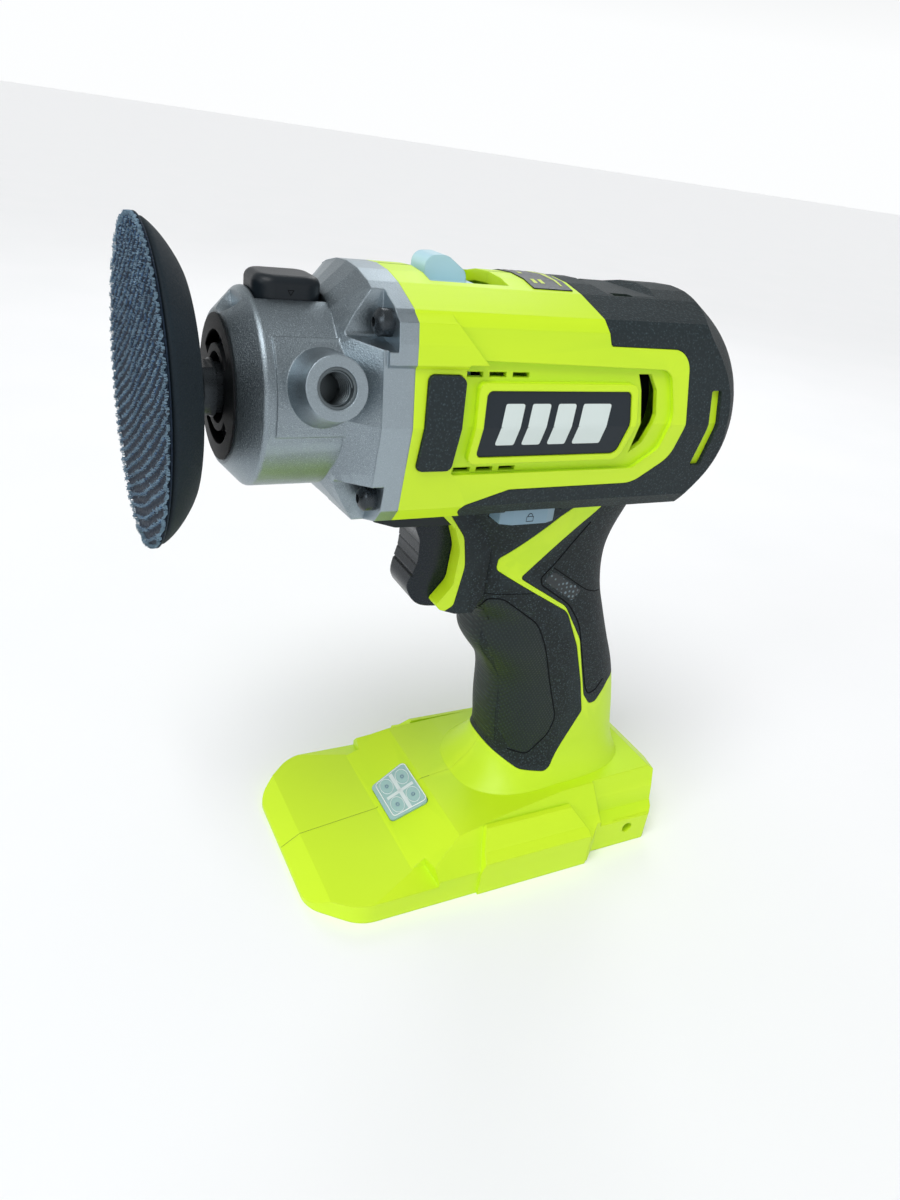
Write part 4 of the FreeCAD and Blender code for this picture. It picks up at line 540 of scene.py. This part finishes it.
# ---------------------------------------------------------------------------
# Pad: moulded foam with a skin, and hook tape with rows of bent hooks
# ---------------------------------------------------------------------------
DRAWING_SHIFT = 12.35
HOOK_LOW, HOOK_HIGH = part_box("hook_face")
FOAM_LOW, FOAM_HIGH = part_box("pad_foam")
AXIS_Z = (HOOK_LOW[2] + HOOK_HIGH[2]) / 2.0
PAD_RADIUS = (HOOK_HIGH[2] - HOOK_LOW[2]) / 2.0
AXIS_MM = AXIS_Z / MM


def turn_about_axis(name, profile, segments, body, material, wobble=0.0):
    """A body of revolution about the spindle from (x, radius) points, with a faint unevenness."""
    vertices, faces = [], []
    for x, radius in profile:
        for k in range(segments):
            angle = 2 * math.pi * k / segments
            direction = Vector((0, math.cos(angle), math.sin(angle)))
            place = Vector((x, 0, AXIS_Z)) + direction * radius
            place -= direction * wobble * (0.5 + 0.5 * noise.noise(place * 60.0)) * min(1.0, radius / 0.01)
            vertices.append(place)
    for i in range(len(profile) - 1):
        for k in range(segments):
            a, b = i * segments + k, i * segments + (k + 1) % segments
            faces.append((a, b, b + segments, a + segments))
    return new_piece(name, vertices, faces, body, material)


def pad_foam_piece():
    front, back = FOAM_LOW[0], FOAM_HIGH[0]
    depth = back - front
    wide = (FOAM_HIGH[2] - FOAM_LOW[2]) / 2.0
    hub = 8.6 * MM
    profile = [(front, hub), (front, wide * 0.5), (front, wide * 0.97), (front + 0.05 * depth, wide * 0.995)]
    for k in range(1, 15):
        s = k / 14.0
        bulge = 1.0 * MM * math.sin(math.pi * s) ** 0.8
        profile.append((front + depth * (0.1 + 0.82 * s), wide + (29.6 * MM - wide) * s + bulge))
    profile += [(back - 0.02 * depth, 28.6 * MM), (back, 27.4 * MM), (back, 18 * MM), (back, hub),
                (front, hub)]
    piece = turn_about_axis("foam_pad", profile, 180, "spindle", LIVE["foam_black"], 0.25 * MM)
    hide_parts("pad_foam")
    return piece


ROW_TILT = math.radians(60.0)
ROW_FAN = 0.0035            # how the rows spread over the face, per millimetre
ROW_PITCH = 2.6
ROW_HEIGHT = 0.85
SWAY = 0.8                  # how far a row wanders sideways
WEAVE_DEPTH = 0.16
TAPE_SPACING = 0.45
EDGE_FALL = 1.2             # width over which the rows sink to the rim
RIM_BAND = 1.0              # hooks nearer the rim than this lean outwards
HOOKS = 6500
HOOK_THICKNESS = (0.10, 0.09, 0.08, 0.05)


def hook_base_height(y, z):
    """Height of the tape over its lowest level, in metres: wavy rows with a fine weave."""
    across = (y * math.cos(ROW_TILT) + z * math.sin(ROW_TILT)) / MM + ROW_FAN * y * z / MM ** 2
    sway = SWAY * noise.noise(Vector((y, z, 0)) * 60.0)
    row = 0.5 + 0.5 * math.cos(2 * math.pi * (across + sway) / ROW_PITCH)
    weave_height = WEAVE_DEPTH * noise.noise(Vector((y, z, 0)) * 900.0)
    return max(0.0, ROW_HEIGHT * row ** 3 + weave_height) * MM


def hook_tape_piece():
    level = HOOK_LEVEL
    spacing = TAPE_SPACING * MM
    reach = int(PAD_RADIUS / spacing) + 1
    index, vertices, faces = {}, [], []
    for i in range(-reach, reach + 1):
        for j in range(-reach, reach + 1):
            y, z = i * spacing, j * spacing
            distance = math.hypot(y, z)
            if distance > PAD_RADIUS + spacing * 0.7:
                continue
            rim = PAD_RADIUS - 0.25 * MM + 0.2 * MM * noise.noise(Vector((y, z, 1)) * 400.0)
            if distance > rim:
                y, z = y * rim / distance, z * rim / distance
            fall = max(0.0, 1.0 - (PAD_RADIUS - distance) / (EDGE_FALL * MM))
            index[i, j] = len(vertices)
            x = level - hook_base_height(y, z) * (1 - fall)
            vertices.append(Vector((x, y, AXIS_Z + z)))
    for (i, j), a in list(index.items()):
        corners = [(i, j), (i, j + 1), (i + 1, j + 1), (i + 1, j)]
        if all(c in index for c in corners):
            faces.append(tuple(index[c] for c in corners))
    top = len(vertices)
    for k in range(240):
        angle = 2 * math.pi * k / 240
        for x, r in ((level + 0.1 * MM, PAD_RADIUS - 0.1 * MM),
                     (HOOK_HIGH[0] - 0.1 * MM, PAD_RADIUS - 0.05 * MM),
                     (HOOK_HIGH[0], PAD_RADIUS - 1.5 * MM)):
            vertices.append(Vector((x, r * math.cos(angle), AXIS_Z + r * math.sin(angle))))
    for k in range(240):
        a, b = top + 3 * k, top + 3 * ((k + 1) % 240)
        faces += [(a, b, b + 1, a + 1), (a + 1, b + 1, b + 2, a + 2)]
    piece = new_piece("hook_tape_face", vertices, faces, "spindle", LIVE["hook_black"])
    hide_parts("hook_face")
    return level


def hooks_piece(level):
    """Bent plastic hooks along the rows, and a few that stick out over the rim."""
    vertices, faces = [], []
    generator = random.Random(5)
    wanted = HOOKS
    made = 0
    while made < wanted:
        radius = PAD_RADIUS * math.sqrt(generator.random())
        if generator.random() < 0.07:
            radius = PAD_RADIUS - generator.random() * RIM_BAND * MM
        angle = generator.random() * 2 * math.pi
        y, z = radius * math.cos(angle), radius * math.sin(angle)
        height = hook_base_height(y, z)
        if height < generator.uniform(0.3, 0.8) * MM and radius < PAD_RADIUS - RIM_BAND * MM:
            continue
        made += 1
        start = Vector((level - height * 0.6, y, AXIS_Z + z))
        outward_lean = 0.7 if radius > PAD_RADIUS - RIM_BAND * MM else 0.0
        out = Vector((0, math.cos(angle), math.sin(angle))) * outward_lean
        lean = Vector((0, generator.uniform(-1, 1), generator.uniform(-1, 1))) * 0.7 + out
        tall = generator.uniform(0.5, 0.95) * MM
        path = [start, start + Vector((-0.7, 0, 0)) * tall + lean * tall * 0.25,
                start + Vector((-0.9, 0, 0)) * tall + lean * tall * 0.75,
                start + Vector((-0.6, 0, 0)) * tall + lean * tall]
        first = len(vertices)
        for p, thick in zip(path, HOOK_THICKNESS):
            from_axis = math.hypot(p.y, p.z - AXIS_Z)
            hold = min(1.0, (PAD_RADIUS - 0.12 * MM) / from_axis) if from_axis else 1.0
            middle = Vector((max(p.x, HOOK_LOW[0]), p.y * hold, AXIS_Z + (p.z - AXIS_Z) * hold))
            for k in range(3):
                turn = 2 * math.pi * k / 3
                vertices.append(middle + Vector((0, math.cos(turn), math.sin(turn))) * thick * MM)
        for r in range(3):
            for k in range(3):
                a = first + 3 * r + k
                b = first + 3 * r + (k + 1) % 3
                faces.append((a, b, b + 3, a + 3))
    return new_piece("tape_hooks", vertices, faces, "spindle", LIVE["hook_bright"])


pad_foam_piece()
hooks_piece(hook_tape_piece())

# ---------------------------------------------------------------------------
# Grip panels, parting lines and markings
# ---------------------------------------------------------------------------
FRONT_PANEL = shifted([(-6.4, 98.0, 2), (-1.4, 98.2, 4), (12.6, 88.0, 3), (17.0, 79.6, 5), (27.6, 49.4, 3),
                       (26.0, 43.0, 2), (19.4, 34.8, 1.5), (13.4, 35.8, 2), (9.4, 44.0, 3), (8.0, 56.0, 5),
                       (5.2, 67.0, 5), (0.2, 75.0, 4), (-3.4, 84.0, 5), (-7.0, 92.0, 4)])
REAR_PANEL = shifted([(21.8, 124.0, 1), (14.2, 110.6, 2), (9.7, 105.0, 0.8), (10.6, 102.4, 1),
                      (23.0, 94.0, 3),
                      (29.0, 86.0, 4), (37.6, 60.0, 1.5), (39.7, 56.6, 1), (42.6, 57.4, 1), (46.0, 61.0, 2)])
TEXTURE_PATCH = shifted([(10.6, 103.8, 0.8), (13.9, 107.2, 0.8), (27.4, 98.6, 1), (23.6, 95.0, 1)])
REAR_SEAM = shifted([(13.5, 108.3), (28.9, 98.3), (33.5, 96.4), (37.6, 95.4)])
FRONT_SEAM = shifted([(-9.0, 99.6), (4.0, 99.9), (13.0, 99.2)])

# The line follows the front panel from its top round the back to its foot
PANEL_LINE_POINTS = 8
PANEL_LINE = [FRONT_PANEL[-1]] + FRONT_PANEL[:PANEL_LINE_POINTS]
PANEL_FRONT_HALF_WIDTH = 8.2
PANEL_FRONT_Z = (36.8, 89.5)
PANEL_REARMOST = 0.035      # a ray that lands behind this has missed the front of the handle, in metres
PANEL_PROUD = 0.1


def front_panel():
    """The grip panel's part across the front of the handle, seen from ahead."""
    tree = surface_tree(["left_overmould", "right_overmould"])
    columns, rows = 20, 76
    vertices, faces, index = [], [], {}
    for i in range(columns + 1):
        for j in range(rows + 1):
            y = PANEL_FRONT_HALF_WIDTH * (2 * i / columns - 1)
            z = PANEL_FRONT_Z[0] + (PANEL_FRONT_Z[1] - PANEL_FRONT_Z[0]) * j / rows
            place, normal, hit, distance = tree.ray_cast(Vector((-0.2, y * MM, z * MM)), Vector((1, 0, 0)))
            if place is None or normal.x > -0.1 or place.x > PANEL_REARMOST:
                continue
            index[i, j] = len(vertices)
            vertices.append(place + normal * PANEL_PROUD * MM)
    for i in range(columns):
        for j in range(rows):
            corners = [(i, j), (i, j + 1), (i + 1, j + 1), (i + 1, j)]
            if all(c in index for c in corners):
                faces.append(tuple(index[c] for c in corners))
    new_piece("front_grip_panel", vertices, faces, "housing", LIVE["grip_weave"])


front_panel()
for side_name, side in (("left", -1), ("right", 1)):
    front_tree = surface_tree([side_name + "_overmould"])
    rear_tree = surface_tree([side_name + "_rear_grip"])
    outline = rounded(FRONT_PANEL)
    patch(side_name + "_front_grip_panel", outline, side, front_tree, PANEL_PROUD, "housing",
          LIVE["grip_weave"])
    # The panel and seam lines are dark tubes sunk in the surface: painted shade in their grooves.
    groove(side_name + "_front_panel_line", open_path(PANEL_LINE), side, front_tree, 0.24, "housing",
           LIVE["groove_shade_and_mark"], closed=False)
    groove(side_name + "_grip_step_line", open_path(FRONT_SEAM), side, front_tree, 0.16, "housing",
           LIVE["groove_shade_and_mark"], closed=False)
    groove(side_name + "_rear_panel_line", open_path(REAR_PANEL), side, rear_tree, 0.26, "housing",
           LIVE["groove_shade_and_mark"], closed=False)
    groove(side_name + "_rear_grip_line", open_path(REAR_SEAM), side, rear_tree, 0.2, "housing",
           LIVE["groove_shade_and_mark"], closed=False)
    patch(side_name + "_thumb_texture", rounded(TEXTURE_PATCH), side, rear_tree, 0.08, "housing",
          LIVE["grip_dots"], pitch=0.6)

# Plain slanted bars on the name plates, where a maker would put a name
plate_tree = surface_tree(["label_plates"])
BAR_STARTS = [-22.6, -14.8, -7.0, 0.8]
BAR_WIDTHS = [5.6, 5.6, 5.6, 9.0]
BAR_Z = (152.4, 163.0)
BAR_LEAN = 1.8
BAR_CORNER = 0.7
for side_name, side in (("left", -1), ("right", 1)):
    for number, (start, width) in enumerate(zip(BAR_STARTS, BAR_WIDTHS)):
        bar = shifted([(start, BAR_Z[0], BAR_CORNER), (start + width, BAR_Z[0], BAR_CORNER),
                       (start + width + BAR_LEAN, BAR_Z[1], BAR_CORNER),
                       (start + BAR_LEAN, BAR_Z[1], BAR_CORNER)])
        patch("%s_plate_bar_%d" % (side_name, number + 1), rounded(bar, 0.6), side, plate_tree, 0.06,
              "housing",
              LIVE["mark_white"], pitch=1.2, edge=0.03)


def on_top(tree, x, y, from_z=0.3):
    """The first surface under a height, or None."""
    place, normal, index, distance = tree.ray_cast(Vector((x * MM, y * MM, from_z)), Vector((0, 0, -1)))
    return place


def top_patch(name, corners, tree, height, body, material, step=0.6):
    """A flat mark seen from above, over a four-cornered (x, y) area."""
    a, b, c, d = [Vector(p) for p in corners]
    nu = max(2, int((b - a).length / step))
    nv = max(2, int((d - a).length / step))
    vertices, faces = [], []
    for i in range(nu + 1):
        for j in range(nv + 1):
            u, v = i / nu, j / nv
            point = (a * (1 - u) + b * u) * (1 - v) + (d * (1 - u) + c * u) * v
            vertices.append(on_top(tree, point.x, point.y) + Vector((0, 0, height * MM)))
    for i in range(nu):
        for j in range(nv):
            k = i * (nv + 1) + j
            faces.append((k, k + nv + 1, k + nv + 2, k + 1))
    return new_piece(name, vertices, faces, body, material)


# Speed marks behind the selector: groups of one, two and three bars, and a tapered wedge
label_tree = surface_tree(["speed_label"])
SPEED_MARKS = [(-5.6, -1.2, -4.4, 1.2), (-5.6, -9.6, -4.4, -7.0), (-3.4, -9.6, -2.2, -7.0),
               (-5.6, 7.0, -4.4, 9.6), (-3.4, 7.0, -2.2, 9.6), (-1.0, 7.0, 0.2, 9.6)]
for number, (x0, y0, x1, y1) in enumerate(SPEED_MARKS):
    x0, x1 = x0 + DRAWING_SHIFT, x1 + DRAWING_SHIFT
    top_patch("speed_mark_%d" % (number + 1), [(x0, y0), (x1, y0), (x1, y1), (x0, y1)], label_tree, 0.05,
              "housing", LIVE["mark_lime"])
WEDGE = shifted([(2.0, -10.6), (2.6, -10.6), (3.6, 10.6), (1.2, 10.6)])
top_patch("speed_wedge", WEDGE, label_tree, 0.05, "housing", LIVE["mark_lime"])


def flat_outline(name, points, place, u, v, body, material, radius=0.11, closed=True):
    """A thin raised line drawn on a flat face; u and v are the face's axes."""
    places = [place + u * p[0] * MM + v * p[1] * MM for p in points]
    return tube(name, places, radius * MM, body, material, closed)


# Padlock outline on both ends of the lock-off bolt
LOCK_LOW, LOCK_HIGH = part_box("lock_off_button")
lock_mid = Vector(((LOCK_LOW[0] + LOCK_HIGH[0]) / 2, 0, (LOCK_LOW[2] + LOCK_HIGH[2]) / 2))
shackle = [(0.75 * math.cos(math.pi * k / 8), 0.25 + 0.95 * math.sin(math.pi * k / 8)) for k in range(9)]
for end_name, y in (("left", LOCK_LOW[1]), ("right", LOCK_HIGH[1])):
    place = Vector((lock_mid.x, y, lock_mid.z - 0.25 * MM))
    flat_outline(end_name + "_lock_mark_body", [(-1.1, -1.2), (1.1, -1.2), (1.1, 0.25), (-1.1, 0.25)], place,
                 Vector((1, 0, 0)), Vector((0, 0, 1)), "lock_off", LIVE["black_plastic"])
    flat_outline(end_name + "_lock_mark_bow", shackle, place, Vector((1, 0, 0)), Vector((0, 0, 1)),
                 "lock_off",
                 LIVE["black_plastic"], closed=False)

# Direction triangle on both flanks of the spindle-lock button
BUTTON_LOW, BUTTON_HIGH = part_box("spindle_lock_button")
for side_name, y in (("left", BUTTON_LOW[1]), ("right", BUTTON_HIGH[1])):
    place = Vector(((BUTTON_LOW[0] + BUTTON_HIGH[0]) / 2, y, BUTTON_HIGH[2] - 3.4 * MM))
    flat_outline(side_name + "_button_triangle", [(-0.7, 0.4), (0.7, 0.4), (0.0, -0.7)], place,
                 Vector((1, 0, 0)),
                 Vector((0, 0, 1)), "spindle_lock", LIVE["groove_shade_and_mark"], radius=0.14)


# Parting line between the housing halves, along the foot and over the body: a dark olive tube, painted shade
# in the seam.
half_tree = surface_tree(["left_housing", "right_housing"])


def parting(name, x_from, x_to, from_z, step=0.7):
    count = int(abs(x_to - x_from) / step)
    places = []
    for k in range(count + 1):
        x = x_from + (x_to - x_from) * k / count
        place = on_top(half_tree, x + DRAWING_SHIFT, 0.02, from_z)
        if place is not None:
            places.append(place - Vector((0, 0, 0.06 * MM)))
    tube(name, places, 0.13 * MM, "housing", LIVE["parting_shade"])


parting("foot_parting_line_front", -61.9, -27.4, 0.05)
parting("foot_parting_line_rear", -12.4, -8.6, 0.05)
parting("body_parting_line_front", -45.8, -36.8, 0.3)
parting("body_parting_line_middle", -14.2, -7.6, 0.3)

# Inside the lamp's lens: four reflector cells with an emitter each, and the bars between them
lens_tree = surface_tree(["led_lens"])
LENS_LOW, LENS_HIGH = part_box("led_lens")
LENS_X = (LENS_LOW[0] + LENS_HIGH[0]) / 2.0 / MM
LENS_SLOPE = math.radians(29.8)
LENS_BAR_HALF_WIDTHS = (0.6, 0.7)       # the bar across, and the bar along the slope
LENS_BAR_HALF_LENGTHS = (9.2, 4.6)
LENS_CELL = (3.2, 4.9)                  # centre of a cell from the lens's middle, up the slope and sideways
LENS_CELL_RADII = (2.3, 3.6)
LENS_EMITTER_RADII = (0.5, 0.7)
MARK_PROUD = 0.06
up_slope = Vector((math.cos(LENS_SLOPE), 0, math.sin(LENS_SLOPE)))
lens_out = Vector((-math.sin(LENS_SLOPE), 0, math.cos(LENS_SLOPE)))
sideways = Vector((0, 1, 0))
lens_mid = on_top(lens_tree, LENS_X, 0.3, 0.05) + lens_out * 0.04 * MM
wide, tall = LENS_BAR_HALF_WIDTHS[0], LENS_BAR_HALF_LENGTHS[0]
top_patch("lens_bar_across", [(LENS_X - wide, -tall), (LENS_X + wide, -tall), (LENS_X + wide, tall),
                              (LENS_X - wide, tall)], lens_tree, MARK_PROUD, "housing", LIVE["mark_white"])
wide, tall = LENS_BAR_HALF_LENGTHS[1], LENS_BAR_HALF_WIDTHS[1]
top_patch("lens_bar_along", [(LENS_X - wide, -tall), (LENS_X + wide, -tall), (LENS_X + wide, tall),
                             (LENS_X - wide, tall)], lens_tree, MARK_PROUD, "housing", LIVE["mark_white"])
ring = [(math.cos(2 * math.pi * k / 28), math.sin(2 * math.pi * k / 28)) for k in range(28)]
quarters = [(u, v) for u in (-LENS_CELL[0], LENS_CELL[0]) for v in (-LENS_CELL[1], LENS_CELL[1])]
for number, (u, v) in enumerate(quarters):
    cell = lens_mid + up_slope * u * MM + sideways * v * MM
    flat_outline("lens_cell_%d" % (number + 1), [(a * LENS_CELL_RADII[0], b * LENS_CELL_RADII[1]) for a,
                                                 b in ring],
                 cell, up_slope, sideways, "housing", LIVE["mark_white"], radius=0.12)
    flat_outline("lens_emitter_%d" % (number + 1),
                 [(a * LENS_EMITTER_RADII[0], b * LENS_EMITTER_RADII[1]) for a, b in ring],
                 cell, up_slope, sideways, "housing", LIVE["lock_grey"], radius=0.2)
frame_points = [(-6.4, -8.6), (6.4, -10.2), (6.4, 10.2), (-6.4, 8.6)]
flat_outline("lens_border", [(p.x, p.y) for p in rounded([(a, b, 1.6) for a, b in frame_points])], lens_mid,
             up_slope, sideways, "housing", LIVE["board_white"], radius=0.2)

# Thread in the two sockets for the auxiliary handle
SOCKET_ANGLE = math.radians(15.5)       # above horizontal
THREAD_START = 32.0                     # from the spindle axis
THREAD_PITCH = 1.25
THREAD_RADIUS = 3.85
THREAD_TURNS = 7
THREAD_STEPS = 24                       # points in each turn
for side_name, side in (("left", -1), ("right", 1)):
    low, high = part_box("handle_insert_" + side_name)
    outward = Vector((0, side * math.cos(SOCKET_ANGLE), math.sin(SOCKET_ANGLE)))
    upward = Vector((0, -side * math.sin(SOCKET_ANGLE), math.cos(SOCKET_ANGLE)))
    centre = Vector(((low[0] + high[0]) / 2.0, 0, AXIS_Z))
    turns = []
    for k in range(THREAD_TURNS * THREAD_STEPS + 1):
        angle = 2 * math.pi * k / THREAD_STEPS
        depth = (THREAD_START - THREAD_PITCH * k / THREAD_STEPS) * MM
        around = Vector((1, 0, 0)) * math.cos(angle) + upward * math.sin(angle)
        turns.append(centre + outward * depth + around * THREAD_RADIUS * MM)
    tube(side_name + "_socket_thread", turns, 0.34 * MM, "housing", LIVE["insert_dark"])


# ---------------------------------------------------------------------------
# Camera, light and floor
# ---------------------------------------------------------------------------
def stage_light(name, place, target, size, energy, colour=(1, 1, 1)):
    data = bpy.data.lights.new(name, "AREA")
    data.shape = "DISK"
    data.size = size
    data.energy = energy
    data.color = colour
    lamp = bpy.data.objects.new(name, data)
    bpy.context.collection.objects.link(lamp)
    lamp.location = place
    lamp.rotation_euler = (Vector(target) - Vector(place)).to_track_quat("-Z", "Y").to_euler()


def make_floor():
    mesh = bmesh.new()
    bmesh.ops.create_circle(mesh, cap_ends=True, radius=60.0, segments=96)
    data = bpy.data.meshes.new("floor")
    mesh.to_mesh(data)
    mesh.free()
    floor = bpy.data.objects.new("floor", data)
    bpy.context.collection.objects.link(floor)
    floor.location = (0, 0, CAD_BOX[0][2] - 0.0001)
    t = Tree("pale_floor")
    cloud = t.noise(120.0, 2.0)
    t.put(t.shader.inputs["Base Color"], t.mix(cloud, (0.90, 0.91, 0.92), (0.93, 0.93, 0.94)))
    t.put(t.shader.inputs["Roughness"], t.band(cloud, 0.3, 0.7, 0.75, 0.9))
    dress(floor, t.material)


CAMERA_LENS = 26.207
CAMERA_PLACE = (-0.123028, -0.212082, 0.217799)
CAMERA_TURN = (62.39966, -7.56897, -26.46756)       # degrees
SUN_DIRECTION = (-0.45, -0.35, 1.0)
SUN_SOFTNESS = 35.0                                  # degrees across
SUN_STRENGTH = 1.75

camera_data = bpy.data.cameras.new("camera")
camera_data.lens = CAMERA_LENS
camera_data.sensor_width = 36.0
camera_data.clip_start = 0.01
camera = bpy.data.objects.new("camera", camera_data)
bpy.context.collection.objects.link(camera)
camera.location = CAMERA_PLACE
camera.rotation_euler = [math.radians(angle) for angle in CAMERA_TURN]
bpy.context.scene.camera = camera

world = bpy.data.worlds.new("studio")
world.use_nodes = True
sky = world.node_tree
backdrop = sky.nodes["Background"]
backdrop.inputs["Color"].default_value = (0.985, 0.995, 1.0, 1)
sky_direction = sky.nodes.new("ShaderNodeTexCoord")
sky_split = sky.nodes.new("ShaderNodeSeparateXYZ")
sky_fall = sky.nodes.new("ShaderNodeMapRange")
for name, value in (("From Min", 0.12), ("From Max", 0.5), ("To Min", 1.0), ("To Max", 0.42)):
    sky_fall.inputs[name].default_value = value
sky.links.new(sky_direction.outputs["Generated"], sky_split.inputs[0])
sky.links.new(sky_split.outputs["Z"], sky_fall.inputs["Value"])
sky.links.new(sky_fall.outputs["Result"], backdrop.inputs["Strength"])
bpy.context.scene.world = world
bpy.context.scene.view_settings.view_transform = "Standard"

MIDDLE = (0.0, 0.0, 0.1)
sun_data = bpy.data.lights.new("sun", "SUN")
sun_data.energy = SUN_STRENGTH
sun_data.angle = math.radians(SUN_SOFTNESS)
sun = bpy.data.objects.new("sun", sun_data)
bpy.context.collection.objects.link(sun)
sun.rotation_euler = Vector(SUN_DIRECTION).to_track_quat("Z", "Y").to_euler()
stage_light("side", (-0.9, -0.25, 0.5), MIDDLE, 0.35, 1.6, (0.88, 0.95, 1.0))
stage_light("rim", (0.5, 0.8, 0.8), MIDDLE, 0.4, 1.5, (0.95, 0.98, 1.0))
make_floor()
